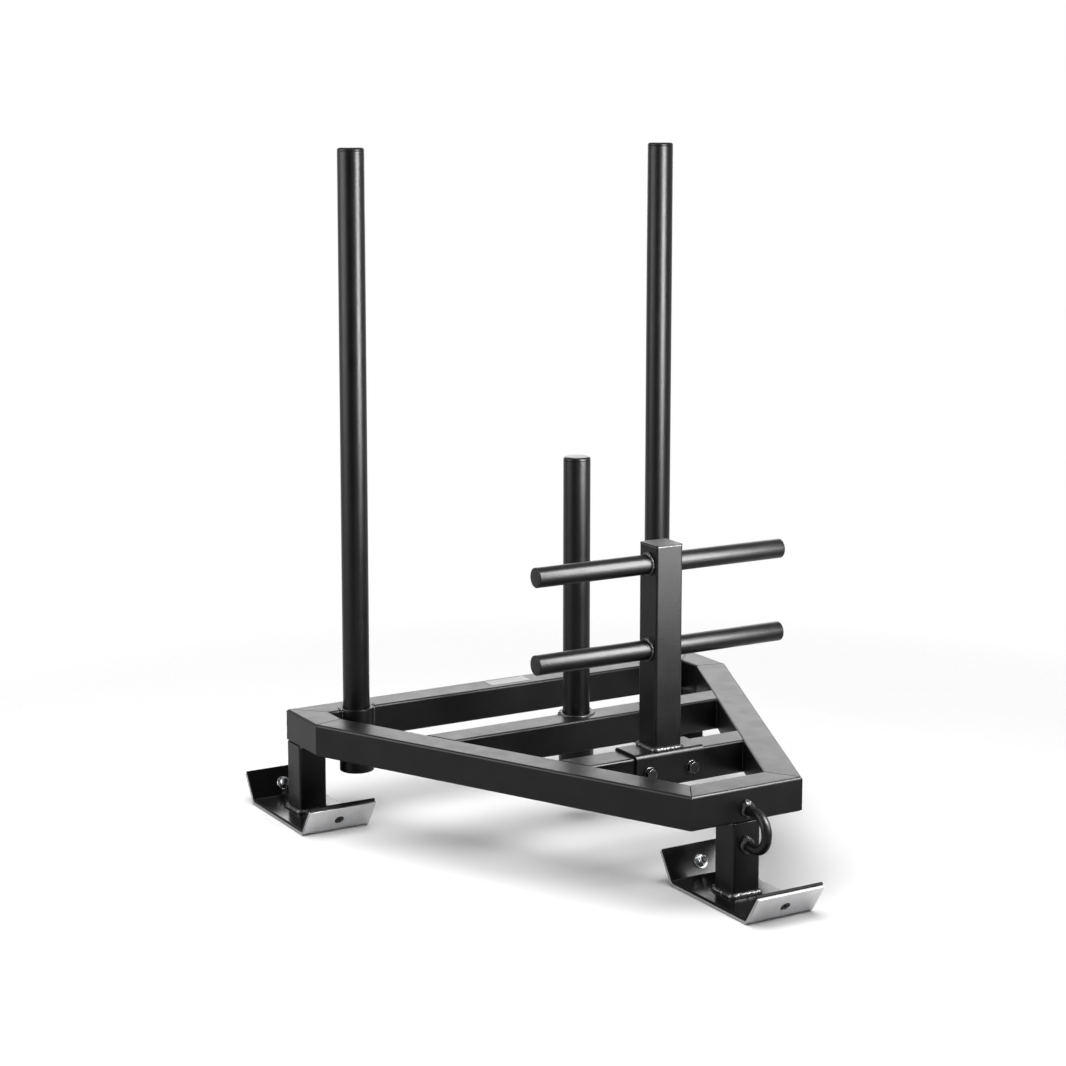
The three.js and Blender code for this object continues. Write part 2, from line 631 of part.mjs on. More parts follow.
// Bolt with its washers and nut, through the saddle: the third local axis points out of the sled's front
function saddleFasteners(prefix, x) {
  const group = new THREE.Group();
  const radius = SADDLE_BOLT_DIAMETER / 2;
  const bore = radius + SEAT_GAP;
  const grip = FRAME_TUBE_WIDTH + 2 * SEAT_GAP + 2 * SADDLE_THICKNESS;
  const headFace = SADDLE_WASHER_THICKNESS + 2 * SEAT_GAP;
  const nutFace = -grip - SADDLE_WASHER_THICKNESS - 2 * SEAT_GAP;
  const tail = nutFace - SADDLE_NUT_HEIGHT - SADDLE_NUT_COLLAR_HEIGHT - SADDLE_BOLT_TAIL;
  const head = chamferedHex(SADDLE_BOLT_HEAD_WIDTH, SADDLE_BOLT_HEAD_HEIGHT).translate(0, 0, headFace);
  const shank = rod(radius, tail, headFace + SADDLE_BOLT_HEAD_HEIGHT / 2, FASTENER_FACES);
  const washer = ring(bore, SADDLE_WASHER_DIAMETER / 2, 0, SADDLE_WASHER_THICKNESS, FASTENER_FACES);
  const nut = lockNut(bore, SADDLE_NUT_WIDTH, SADDLE_NUT_HEIGHT, SADDLE_NUT_COLLAR_HEIGHT);
  const frontWasher = washer.clone().translate(0, 0, SEAT_GAP);
  const rearWasher = washer.clone().translate(0, 0, nutFace + SEAT_GAP);
  group.add(piece(`saddle_${prefix}_bolt`, join(head, shank), blackOxide()));
  group.add(piece(`saddle_${prefix}_front_washer`, frontWasher, blackOxide()));
  group.add(piece(`saddle_${prefix}_rear_washer`, rearWasher, blackOxide()));
  group.add(piece(`saddle_${prefix}_nut`, nut.translate(0, 0, nutFace), blackOxide()));
  const origin = new THREE.Vector3(x, FRONT_CROSSBAR_Y - grip / 2, FRAME_BOTTOM + FRAME_TUBE_WIDTH / 2);
  return turned(group, origin, X_AXIS, Z_AXIS, Y_AXIS.clone().negate());
}

// Handle bar: a round tube with closed, slightly rounded ends, vented where the post hides it
function handleBar(name, height) {
  const outer = HANDLE_BAR_DIAMETER / 2;
  const half = HANDLE_BAR_LENGTH / 2;
  const profile = [
    [0, -half],
    [outer - HANDLE_BAR_EDGE, -half],
    [outer, HANDLE_BAR_EDGE - half],
    [outer, half - HANDLE_BAR_EDGE],
    [outer - HANDLE_BAR_EDGE, half],
    [0, half],
  ];
  const cavity = rod(outer - HANDLE_BAR_WALL, HANDLE_BAR_END - half, half - HANDLE_BAR_END, BAR_FACES);
  const vent = rod(HANDLE_BAR_VENT / 2, 0, HANDLE_BAR_DIAMETER, FASTENER_FACES).rotateY(QUARTER_TURN);
  const bar = piece(name, cut(revolve(profile, BAR_FACES), [cavity, vent]), blackCoat());
  bar.rotation.y = QUARTER_TURN;
  bar.position.z = height;
  return bar;
}

// Handle: square post on the saddle, closed by a cap plate, with two bars through it
function handle() {
  const group = new THREE.Group();
  const tubeLength = HANDLE_POST_LENGTH - HANDLE_CAP_THICKNESS - SEAT_GAP;
  const section = tubeSection(HANDLE_POST_WIDTH, HANDLE_POST_WALL, HANDLE_POST_INSIDE_RADIUS);
  const half = HANDLE_POST_WIDTH / 2;
  const tube = extrude(section, tubeLength, CORNER_ARC_STEPS).translate(-half, -half, 0);
  const holes = [LOWER_BAR_UP_POST, UPPER_BAR_UP_POST].map((height) => {
    const reach = half + CUT_OVERRUN;
    const tool = rod(HANDLE_BAR_DIAMETER / 2 + SEAT_GAP, -reach, reach, BAR_FACES);
    return tool.rotateY(QUARTER_TURN).translate(0, 0, height);
  });
  const plate = roundedSquare(new THREE.Shape(), -half, half, HANDLE_POST_INSIDE_RADIUS + HANDLE_POST_WALL);
  const cap = piece('handle_post_cap', extrude(plate, HANDLE_CAP_THICKNESS, CORNER_ARC_STEPS), blackCoat());
  cap.position.z = HANDLE_POST_LENGTH - HANDLE_CAP_THICKNESS;
  group.add(piece('handle_post', cut(tube, holes), blackCoat()), cap);
  group.add(handleBar('lower_handle_bar', LOWER_BAR_UP_POST));
  group.add(handleBar('upper_handle_bar', UPPER_BAR_UP_POST));
  group.position.set(0, FRONT_CROSSBAR_Y, HANDLE_FOOT);
  return group;
}

// The sled
const group = new THREE.Group();
group.add(frame());
for (const [side, place] of Object.entries(polePlaces)) {
  group.add(socket(`${side}_pole_socket`, place));
  group.add(roundPost(`${side}_push_pole`, `${side}_pole_cap`, place, PUSH_POLE_LENGTH));
}
group.add(socket('weight_post_socket', weightPostPlace));
group.add(roundPost('weight_post', 'weight_post_cap', weightPostPlace, WEIGHT_POST_LENGTH));

const legPlaces = { left_rear: [-LEG_X, REAR_LEG_Y], right_rear: [LEG_X, REAR_LEG_Y], front: [0, FRONT_LEG_Y] };
for (const [prefix, [x, y]] of Object.entries(legPlaces)) {
  group.add(leg(`${prefix}_leg`, x, y));
  group.add(skid(prefix, x, y - SKID_AHEAD_OF_LEG));
}

group.add(towEye());
group.add(saddle());
for (const [prefix, side] of [['left', -1], ['right', 1]]) {
  group.add(saddleFasteners(prefix, side * SADDLE_BOLT_SPACING / 2));
}
group.add(handle());

export default group;
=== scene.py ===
"""Looks of the push sled: satin black tube frame, bright wear plates, welds, studio floor and light.

Metres, +Z up, -Y is the towed end, left is -X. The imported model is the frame, and every piece rides on it.
"""
import json
import math
from collections import namedtuple

import bmesh
import bpy
from mathutils import Matrix, Vector, noise


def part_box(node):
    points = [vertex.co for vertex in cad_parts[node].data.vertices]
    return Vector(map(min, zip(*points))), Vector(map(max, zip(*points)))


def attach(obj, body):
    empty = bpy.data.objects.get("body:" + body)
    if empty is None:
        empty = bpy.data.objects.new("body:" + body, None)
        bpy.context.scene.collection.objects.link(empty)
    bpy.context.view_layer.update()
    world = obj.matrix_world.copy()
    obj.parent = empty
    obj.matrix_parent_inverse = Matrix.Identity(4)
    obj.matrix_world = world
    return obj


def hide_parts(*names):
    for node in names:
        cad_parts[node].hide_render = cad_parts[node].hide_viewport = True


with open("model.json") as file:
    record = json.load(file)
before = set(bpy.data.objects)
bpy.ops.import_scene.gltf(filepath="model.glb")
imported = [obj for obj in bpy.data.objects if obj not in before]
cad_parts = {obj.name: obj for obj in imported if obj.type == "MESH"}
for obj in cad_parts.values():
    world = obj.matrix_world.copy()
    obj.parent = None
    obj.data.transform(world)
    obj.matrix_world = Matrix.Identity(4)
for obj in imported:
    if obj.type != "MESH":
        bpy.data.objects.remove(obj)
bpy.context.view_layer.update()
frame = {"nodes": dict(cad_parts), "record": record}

MM = 0.001
FULL_TURN = 2 * math.pi
X_AXIS = Vector((1, 0, 0))
Y_AXIS = Vector((0, 1, 0))
Z_AXIS = Vector((0, 0, 1))

# Faces round a full turn
POST_FACES = 96
BAR_FACES = 64
SMALL_FACES = 48
EYE_FACES = 40
BEAD_FACES = 12

# Steps round a corner or an edge
CORNER_STEPS = 6
CAP_STEPS = 8
BAR_STEPS = 5
COLLAR_STEPS = 5
RIM_STEPS = 4
LIP_STEPS = 3
SHARP_ANGLE = math.radians(35)

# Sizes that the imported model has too: frame, tubes, caps, sockets and saddle
FRAME_WIDTH = 911 * MM
FRAME_LENGTH = 842 * MM
CORNER_TUBE_LENGTH = 127.5 * MM
FRONT_TUBE_LENGTH = 227 * MM
TUBE_WALL = 3 * MM
TUBE_CORNER = 4.5 * MM
SEAT_GAP = 0.3 * MM
CAP_EDGE = 4.5 * MM
SOCKET_BORE_RADIUS = 26 * MM
SOCKET_DRAIN_RADIUS = 6 * MM
SOCKET_FLOOR = 5 * MM
SOCKET_EDGE = 1.5 * MM
HANDLE_BAR_EDGE = 1.5 * MM
SADDLE_THICKNESS = 5 * MM
SADDLE_INSIDE_RADIUS = 3 * MM

# The same for the skids and their screws
SKID_WIDTH = 134 * MM
SKID_FLAT_LENGTH = 222 * MM
SKID_FLARE = math.radians(57)
SKID_BEND_RADIUS = 13 * MM
SKID_FLANGE_LENGTH = 61 * MM
SKID_PLATE = 5 * MM
SHOE_EDGE_RISE = 2 * MM
SCREW_UP_FLANGE = 29 * MM
SCREW_RADIUS = 5 * MM
SCREW_HEAD_RADIUS = 9 * MM
SCREW_HEAD_DEPTH = 4 * MM
SCREW_HEAD_LAND = 0.8 * MM
SCREW_KEY_WIDTH = 6 * MM
SCREW_KEY_DEPTH = 3.5 * MM
SCREW_TAIL = 2 * MM
SKID_WASHER_RADIUS = 12.5 * MM
SKID_WASHER_THICKNESS = 2 * MM
SKID_NUT_WIDTH = 17 * MM
SKID_NUT_HEIGHT = 7 * MM
SKID_COLLAR_HEIGHT = 3 * MM

# The same for the saddle bolts and the tow eye
BOLT_RADIUS = 6 * MM
BOLT_HEAD_WIDTH = 19 * MM
BOLT_HEAD_HEIGHT = 7.5 * MM
BOLT_WASHER_RADIUS = 12 * MM
BOLT_WASHER_THICKNESS = 2.5 * MM
BOLT_NUT_HEIGHT = 8 * MM
BOLT_COLLAR_HEIGHT = 4 * MM
TOW_EYE_BEND = 31 * MM
TOW_EYE_STRAIGHT = 24 * MM


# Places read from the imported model
def middle(node):
    low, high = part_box(node)
    return (low + high) / 2


def size_of(node):
    low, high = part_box(node)
    return high - low


# Tones of the black coats, of the bare label place, of nylon and of plain white
COAT_BLACK = (0.004, 0.004, 0.0042)
SHOE_BLACK = (0.003, 0.003, 0.0031)
WELD_BLACK = (0.012, 0.012, 0.0122)
WORN_GREY = (0.06, 0.058, 0.056)
LABEL_GREY = (0.2, 0.2, 0.202)
NYLON_GREY = (0.25, 0.25, 0.245)
WHITE = (1, 1, 1)
DUST_GAIN = 1.35
MOTTLE_GAIN = 0.8

# Tones of each steel: plain, stained, and a painted highlight on its edges (lighter than plain on the oxide
# and the zinc)
OXIDE_TONES = ((0.035, 0.035, 0.036), (0.02, 0.0198, 0.0196), (0.22, 0.22, 0.22))
WEAR_TONES = ((0.66, 0.66, 0.67), (0.56, 0.56, 0.565), (0.66, 0.66, 0.67))
SIDE_CUT_TONES = ((0.26, 0.26, 0.264), (0.2, 0.2, 0.203), (0.26, 0.26, 0.264))
# The cut ends face up and are coloured darker than the cut sides: painted shade.
END_CUT_SHADED_TONES = ((0.09, 0.09, 0.091), (0.07, 0.07, 0.071), (0.09, 0.09, 0.091))
ZINC_TONES = ((0.4, 0.41, 0.42), (0.3, 0.31, 0.32), (0.85, 0.86, 0.88))
BRUSH_DARK = (0.72, 0.72, 0.72)
BRUSH_DEPTH = 0.35

# How far roughness wanders, how a noise is stretched and how finely edges are looked for
COAT_WANDER = 0.035
STEEL_WANDER = 0.07
EVEN = (1, 1, 1)
ALONG_X = (1, 0.06, 0.06)
BEVEL_SAMPLES = 6


# Making materials
def feed(tree, node, inputs):
    """Gives each named input a constant or another node's output. A colour is three numbers."""
    for name, value in inputs.items():
        socket = node.inputs[name]
        if isinstance(value, bpy.types.NodeSocket):
            tree.links.new(value, socket)
        else:
            socket.default_value = (*value, 1) if socket.type == "RGBA" else value


def add_node(tree, kind, inputs, **settings):
    node = tree.nodes.new(kind)
    for name, value in settings.items():
        setattr(node, name, value)
    feed(tree, node, inputs)
    return node


def new_material(name):
    material = bpy.data.materials.new(name)
    material.use_nodes = True
    tree = material.node_tree
    return material, tree, tree.nodes["Principled BSDF"]


def noise_node(tree, scale, detail, stretch=EVEN, rough=0.5):
    """A noise in metres of the object, stretched along its axes."""
    where = add_node(tree, "ShaderNodeTexCoord", {})
    mapping = add_node(tree, "ShaderNodeMapping", {"Vector": where.outputs["Object"], "Scale": stretch})
    inputs = {"Vector": mapping.outputs["Vector"], "Scale": scale, "Detail": detail, "Roughness": rough}
    return add_node(tree, "ShaderNodeTexNoise", inputs).outputs["Fac"]


def spread(tree, value, low, high, from_low=0.3, from_high=0.7):
    """Maps a noise to a range."""
    ranges = {"From Min": from_low, "From Max": from_high, "To Min": low, "To Max": high}
    return add_node(tree, "ShaderNodeMapRange", {"Value": value, **ranges}).outputs["Result"]


def blend_colours(tree, factor, first, second, kind="MIX"):
    """Mixes two colours, each a constant or another node's output."""
    inputs = {"Factor": factor, "A": first, "B": second}
    node = add_node(tree, "ShaderNodeMix", inputs, data_type="RGBA", blend_type=kind)
    return node.outputs["Result"]


def bump(tree, height, strength, distance, normal):
    inputs = {"Height": height, "Strength": strength, "Distance": distance, "Normal": normal}
    return add_node(tree, "ShaderNodeBump", inputs).outputs["Normal"]


def combine(tree, operation, first, second):
    return add_node(tree, "ShaderNodeMath", {0: first, 1: second}, operation=operation).outputs["Value"]


def edge_share(tree, radius, sharp_at):
    """0 on flat faces and 1 on edges, and the rounded normal that finds them."""
    bevel = add_node(tree, "ShaderNodeBevel", {"Radius": radius}, samples=BEVEL_SAMPLES)
    geometry = add_node(tree, "ShaderNodeNewGeometry", {})
    normals = {0: bevel.outputs["Normal"], 1: geometry.outputs["True Normal"]}
    facing = add_node(tree, "ShaderNodeVectorMath", normals, operation="DOT_PRODUCT")
    edges = spread(tree, facing.outputs["Value"], 1, 0, from_low=sharp_at, from_high=1)
    return edges, bevel.outputs["Normal"]


def coat_material(name, colour, roughness, specular, grain=1.0, worn_colour=WORN_GREY):
    """Satin powder coat: fine orange peel, cloudy gloss, dust in patches and thin wear on edges."""
    material, tree, shader = new_material(name)
    edges, soft_normal = edge_share(tree, radius=1.2 * MM, sharp_at=0.82)
    patches = noise_node(tree, scale=60, detail=6, rough=0.7)
    wear = combine(tree, "MULTIPLY", edges, spread(tree, patches, 0, 1, from_low=0.56, from_high=0.68))
    clouds = spread(tree, noise_node(tree, scale=9, detail=4), 0, 1)
    dusty = blend_colours(tree, clouds, colour, tuple(DUST_GAIN * c for c in colour))
    gloss = noise_node(tree, scale=25, detail=5)
    peel = noise_node(tree, scale=380, detail=3)
    waves = noise_node(tree, scale=90, detail=2)
    fine = bump(tree, peel, strength=0.4 * grain, distance=0.22 * MM, normal=soft_normal)
    feed(tree, shader, {
        "Base Color": blend_colours(tree, wear, dusty, worn_colour),
        "Roughness": spread(tree, gloss, roughness - COAT_WANDER, roughness + COAT_WANDER),
        "Specular IOR Level": specular,
        "Normal": bump(tree, waves, strength=0.25 * grain, distance=0.16 * MM, normal=fine),
    })
    return material


def steel_material(name, tones, roughness, stretch=EVEN, scratch=1.0):
    """Brushed steel: fine lines one way, faint stains, and a painted highlight that lightens its edges."""
    material, tree, shader = new_material(name)
    plain, stained, edge_highlight = tones
    edges, soft_normal = edge_share(tree, radius=0.8 * MM, sharp_at=0.85)
    brushed = noise_node(tree, scale=240, detail=4, stretch=stretch, rough=0.6)
    stains = noise_node(tree, scale=14, detail=5, rough=0.6)
    tone = blend_colours(tree, spread(tree, stains, 0, 1, from_low=0.35, from_high=0.7), plain, stained)
    greys = blend_colours(tree, spread(tree, brushed, 0, 1), BRUSH_DARK, WHITE)
    lined = blend_colours(tree, BRUSH_DEPTH * scratch, tone, greys, "MULTIPLY")
    feed(tree, shader, {
        "Base Color": blend_colours(tree, edges, lined, edge_highlight),
        "Metallic": 1,
        "Roughness": spread(tree, brushed, roughness - STEEL_WANDER, roughness + STEEL_WANDER),
        "Normal": bump(tree, brushed, strength=0.3 * scratch, distance=0.05 * MM, normal=soft_normal),
    })
    return material


def nylon_material(name, colour, roughness):
    """Moulded nylon with a faint mottle."""
    material, tree, shader = new_material(name)
    mottle = noise_node(tree, scale=500, detail=3)
    mottled = blend_colours(tree, mottle, colour, tuple(MOTTLE_GAIN * c for c in colour))
    feed(tree, shader, {"Base Color": mottled, "Roughness": roughness})
    return material


coat = coat_material("satin_black_coat", COAT_BLACK, roughness=0.33, specular=0.15, grain=2.0)
gloss_coat = coat_material("gloss_black_coat", SHOE_BLACK, roughness=0.17, specular=0.22)
edge_coat = coat_material("coated_plate_edge", SHOE_BLACK, roughness=0.5, specular=0.05)
weld_coat = coat_material("coated_weld", WELD_BLACK, roughness=0.3, specular=0.5, grain=2.0)
# Black oxide and zinc carry a painted highlight: their edges are coloured lighter than their faces.
bolt_black = steel_material("black_oxide", OXIDE_TONES, roughness=0.26, scratch=0.4)
wear_steel = steel_material("brushed_wear_steel", WEAR_TONES, roughness=0.34, stretch=ALONG_X)
side_cut = steel_material("cut_steel_side", SIDE_CUT_TONES, roughness=0.45)
# Cut ends of the wear plates: cut steel darkened further as painted shade.
shaded_end_cut = steel_material("cut_steel_end_painted_shade", END_CUT_SHADED_TONES, roughness=0.45)
zinc = steel_material("bright_zinc", ZINC_TONES, roughness=0.17, scratch=0.5)
nylon = nylon_material("grey_nylon", NYLON_GREY, roughness=0.5)
label_film = coat_material("blank_label_film", LABEL_GREY, 0.36, 0.24, grain=0.1, worn_colour=LABEL_GREY)

SLOT_MATERIALS = {
    "black_coat": coat,
    "wear_steel": wear_steel,
    "zinc_plate": zinc,
    "black_bolt_steel": bolt_black,
}
for node in frame["nodes"].values():
    for entry in node.material_slots:
        entry.material = SLOT_MATERIALS[entry.material.name.split(".")[0]]


# Making pieces
body_of_node = {n: body for body, ns in frame["record"]["behaviour"]["bodies"].items() for n in ns}
slot_of_node = {entry["node"]: entry["material_slot"] for entry in frame["record"]["subparts"]}


def new_object(name, data):
    thing = bpy.data.objects.new(name, data)
    bpy.context.scene.collection.objects.link(thing)
    return thing


def finish_mesh(name, mesh, material, body):
    mesh.materials.clear()
    mesh.materials.append(material)
    mesh.validate()
    for polygon in mesh.polygons:
        polygon.use_smooth = True
    mesh.set_sharp_from_angle(angle=SHARP_ANGLE)
    piece = new_object(name, mesh)
    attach(piece, body)
    return piece


def stand_in(node, mesh, kind, material=None):
    """A smooth piece shown instead of a node, with the node's body and slot."""
    slot = slot_of_node[node]
    piece = finish_mesh(f"{node}_{kind}", mesh, material or SLOT_MATERIALS[slot], body_of_node[node])
    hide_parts(node)
    return piece


def basis(origin, across, up, along):
    """A placement whose local axes are three directions."""
    turn = Matrix((across, up, along)).transposed().to_4x4()
    return Matrix.Translation(origin) @ turn


def along_x(x, y, z):
    """A placement whose third axis points along X and whose second points up."""
    return basis(Vector((x, y, z)), Y_AXIS, Z_AXIS, X_AXIS)


def to_front(x, y, z):
    """A placement whose third axis points to the towed end and whose second points up."""
    return basis(Vector((x, y, z)), X_AXIS, Z_AXIS, -Y_AXIS)


def at_place(x, y, z):
    return Matrix.Translation((x, y, z))


def mesh_of(name, work, place):
    bmesh.ops.recalc_face_normals(work, faces=work.faces)
    work.transform(place)
    mesh = bpy.data.meshes.new(name)
    work.to_mesh(mesh)
    work.free()
    return mesh


def lofted_mesh(name, loops, place, wrap=False):
    """Faces between loops of as many points each, closed by end faces or by a last step to the first loop."""
    work = bmesh.new()
    rows = [[work.verts.new(point) for point in loop] for loop in loops]
    pairs = list(zip(rows, rows[1:]))
    if wrap:
        pairs.append((rows[-1], rows[0]))
    else:
        work.faces.new(rows[0])
        work.faces.new(rows[-1])
    for lower, upper in pairs:
        for k in range(len(lower)):
            following = (k + 1) % len(lower)
            work.faces.new((lower[k], lower[following], upper[following], upper[k]))
    return mesh_of(name, work, place)


def steady(value):
    return lambda angle: value


HEX_SIDES = 6


def hexed(across_flats, inset=0.0):
    """Radius of a hex at each angle round it."""
    side = FULL_TURN / HEX_SIDES

    def radius(angle):
        return (across_flats / 2 - inset) / math.cos((angle + side / 2) % side - side / 2)
    return radius


def turned_mesh(name, rings, faces, place):
    """Rings from the first to the last, closed at both ends on the axis unless the last meets the first.

    Each ring is (radius, height): both are numbers or functions of the angle. A radius of 0 is one point.
    """
    work = bmesh.new()
    angles = [FULL_TURN * k / faces for k in range(faces)]
    loops = []
    for radius, height in rings:
        if radius == 0:
            loops.append([work.verts.new((0, 0, height))] * faces)
            continue
        radius_at = radius if callable(radius) else steady(radius)
        height_at = height if callable(height) else steady(height)
        loop = []
        for a in angles:
            reach = radius_at(a)
            loop.append(work.verts.new((reach * math.cos(a), reach * math.sin(a), height_at(a))))
        loops.append(loop)
    pairs = list(zip(loops, loops[1:]))
    if rings[0][0] != 0:
        pairs.append((loops[-1], loops[0]))
    for lower, upper in pairs:
        for k in range(faces):
            corners = [lower[k], lower[(k + 1) % faces], upper[(k + 1) % faces], upper[k]]
            unique = [v for i, v in enumerate(corners) if v not in corners[:i]]
            if len(unique) > 2:
                work.faces.new(unique)
    return mesh_of(name, work, place)


# A rounded edge of a turned section is a quarter turn that starts at one of these angles
LOWER_OUTER = -90
UPPER_OUTER = 0
UPPER_INNER = 90
QUARTER = 90


def rounded(radius, height, edge, steps, start):
    """Points of a rounded edge round a centre at (radius, height)."""
    points = []
    for k in range(steps + 1):
        a = math.radians(start + QUARTER * k / steps)
        points.append((radius + edge * math.cos(a), height + edge * math.sin(a)))
    return points


FLAT_HOLD = 0.5 * MM
LEAST_RADIUS = 0.05 * MM


def outline(corners, radii, inset=0.0):
    """Points round a flat shape with rounded corners, listed against the clock and moved in by an inset.

    A point a little way along each flat keeps the flat's shading flat.
    """
    points = []
    count = len(corners)
    for k in range(count):
        before, corner, after = (Vector(corners[(k + step) % count]) for step in (-1, 0, 1))
        arriving = (corner - before).normalized()
        leaving = (after - corner).normalized()
        inward = Vector((-arriving.y, arriving.x))
        next_inward = Vector((-leaving.y, leaving.x))
        turn = math.atan2(arriving.cross(leaving), arriving.dot(leaving))
        moved = corner + inset * (inward + next_inward) / (1 + inward.dot(next_inward))
        side = math.copysign(1, turn)
        radius = max(radii[k] - side * inset, LEAST_RADIUS)
        reach = radius * math.tan(abs(turn) / 2)
        first = moved - arriving * reach
        centre = first + side * radius * inward
        points.append(first - arriving * FLAT_HOLD)
        for step in range(CORNER_STEPS + 1):
            points.append(centre + Matrix.Rotation(turn * step / CORNER_STEPS, 2) @ (first - centre))
        points.append(moved + leaving * (reach + FLAT_HOLD))
    return points


def plate_mesh(name, corners, radii, length, place, edge):
    """A section drawn out along its third axis, with its end edges broken."""
    loops = []
    for inset, height in ((edge, 0), (0, edge), (0, length - edge), (edge, length)):
        loops.append([(p.x, p.y, height) for p in outline(corners, radii, inset)])
    return lofted_mesh(name, loops, place)


def carved(mesh, cutters):
    """The mesh with each cutter taken away."""
    holder = new_object("carved", mesh)
    tools = []
    for cutter in cutters:
        tool = new_object("cutter", cutter)
        change = holder.modifiers.new("cut", "BOOLEAN")
        change.operation = "DIFFERENCE"
        change.solver = "EXACT"
        change.object = tool
        tools.append(tool)
    result = bpy.data.meshes.new_from_object(holder.evaluated_get(bpy.context.evaluated_depsgraph_get()))
    for thing in (holder, *tools):
        bpy.data.objects.remove(thing)
    return result


def turned(node, rings, place, faces=SMALL_FACES, kind="turned"):
    """A turned piece shown instead of a node."""
    return stand_in(node, turned_mesh(node, rings, faces, place), kind)


def rod_mesh(radius, bottom, top, faces, place):
    return turned_mesh("rod", [(0, bottom), (radius, bottom), (radius, top), (0, top)], faces, place)


LEAST_STATIONS = 3
TINY = 5e-8


def evenly(points, step, closed):
    """Points at even steps along a line, each with the distance travelled, and the line's length."""
    line = [Vector(p) for p in points]
    if closed:
        line.append(line[0])
    marks = [0.0]
    for a, b in zip(line, line[1:]):
        marks.append(marks[-1] + (b - a).length)
    count = max(LEAST_STATIONS, round(marks[-1] / step))
    found = []
    k = 0
    for i in range(count if closed else count + 1):
        run = marks[-1] * i / count
        while k < len(line) - 2 and marks[k + 1] < run:
            k += 1
        share = (run - marks[k]) / max(marks[k + 1] - marks[k], TINY)
        found.append((line[k].lerp(line[k + 1], min(share, 1)), run))
    return found, marks[-1]


def swept_mesh(name, points, normal, radius_at, step, faces, closed=False):
    """A round section swept along a flat line. radius_at(point, run, length, angle) gives its radius."""
    stations, length = evenly(points, step, closed)
    across = Vector(normal).normalized()
    loops = []
    for k, (point, run) in enumerate(stations):
        before = stations[k - 1][0] if closed or k else point
        after = stations[(k + 1) % len(stations)][0] if closed or k + 1 < len(stations) else point
        side = (after - before).normalized().cross(across)
        loop = []
        for j in range(faces):
            a = FULL_TURN * j / faces
            reach = radius_at(point, run, length, a)
            loop.append(point + reach * (math.cos(a) * across + math.sin(a) * side))
        loops.append(loop)
    return lofted_mesh(name, loops, Matrix.Identity(4), wrap=closed)


# Round posts and their caps, smooth, with a fine joint line under the cap
CAP_JOINT = 0.4 * MM


def post(node, cap_node):
    low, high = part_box(node)
    cap_low, cap_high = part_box(cap_node)
    radius = (high.x - low.x) / 2
    inside, chamfered = radius - TUBE_WALL, radius - CAP_JOINT
    place = at_place(middle(node).x, middle(node).y, 0)
    tube = [(inside, low.z), (chamfered, low.z), (radius, low.z + CAP_JOINT)]
    tube += [(radius, high.z - CAP_JOINT), (chamfered, high.z), (inside, high.z)]
    turned(node, tube, place, POST_FACES, "tube")
    base = high.z + SEAT_GAP
    spigot = inside - SEAT_GAP
    cap = [(0, cap_low.z), (spigot, cap_low.z), (spigot, base), (chamfered, base), (radius, base + CAP_JOINT)]
    cap += rounded(radius - CAP_EDGE, cap_high.z - CAP_EDGE, CAP_EDGE, CAP_STEPS, UPPER_OUTER)
    cap += [(0, cap_high.z)]
    turned(cap_node, cap, place, POST_FACES, "plug")


# Sockets: round cups with a drained floor and softened rims
SOCKET_LIP = 0.8 * MM


def socket_cup(node):
    low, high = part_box(node)
    radius = (high.x - low.x) / 2
    floor_top = low.z + SOCKET_FLOOR
    rings = [(SOCKET_DRAIN_RADIUS, low.z)]
    rings += rounded(radius - SOCKET_EDGE, low.z + SOCKET_EDGE, SOCKET_EDGE, RIM_STEPS, LOWER_OUTER)
    rings += rounded(radius - SOCKET_EDGE, high.z - SOCKET_EDGE, SOCKET_EDGE, RIM_STEPS, UPPER_OUTER)
    rings += rounded(SOCKET_BORE_RADIUS + SOCKET_LIP, high.z - SOCKET_LIP, SOCKET_LIP, LIP_STEPS, UPPER_INNER)
    rings += [(SOCKET_BORE_RADIUS, floor_top), (SOCKET_DRAIN_RADIUS, floor_top)]
    place = at_place(middle(node).x, middle(node).y, 0)
    turned(node, rings, place, POST_FACES, "cup")


POLE_SOCKETS = ("left_pole_socket", "right_pole_socket")
for side in ("left", "right"):
    post(f"{side}_push_pole", f"{side}_pole_cap")
post("weight_post", "weight_post_cap")
for name in (*POLE_SOCKETS, "weight_post_socket"):
    socket_cup(name)


# Square tubes: each end's place depends on the distance across the tube, and its edges are broken
MITRE_GROOVE = 0.8 * MM
CROSSBAR_GROOVE = 0.4 * MM
UPRIGHT_GROOVE = 0.5 * MM


def rectangle(width, depth):
    return [(0, 0), (width, 0), (width, depth), (0, depth)]


def square_tube(node, width, start_at, end_at, place, groove, cutters=()):
    corners = rectangle(width, width)
    radii = [TUBE_CORNER] * len(corners)
    ends = ((groove, start_at, 0), (0, start_at, groove), (0, end_at, -groove), (groove, end_at, 0))
    loops = []
    for inset, place_end, shift in (*ends, (TUBE_WALL, end_at, 0), (TUBE_WALL, start_at, 0)):
        loops.append([(p.x, p.y, place_end(p.x) + shift) for p in outline(corners, radii, inset)])
    mesh = lofted_mesh(node, loops, place, wrap=True)
    if cutters:
        mesh = carved(mesh, cutters)
    stand_in(node, mesh, "tube")


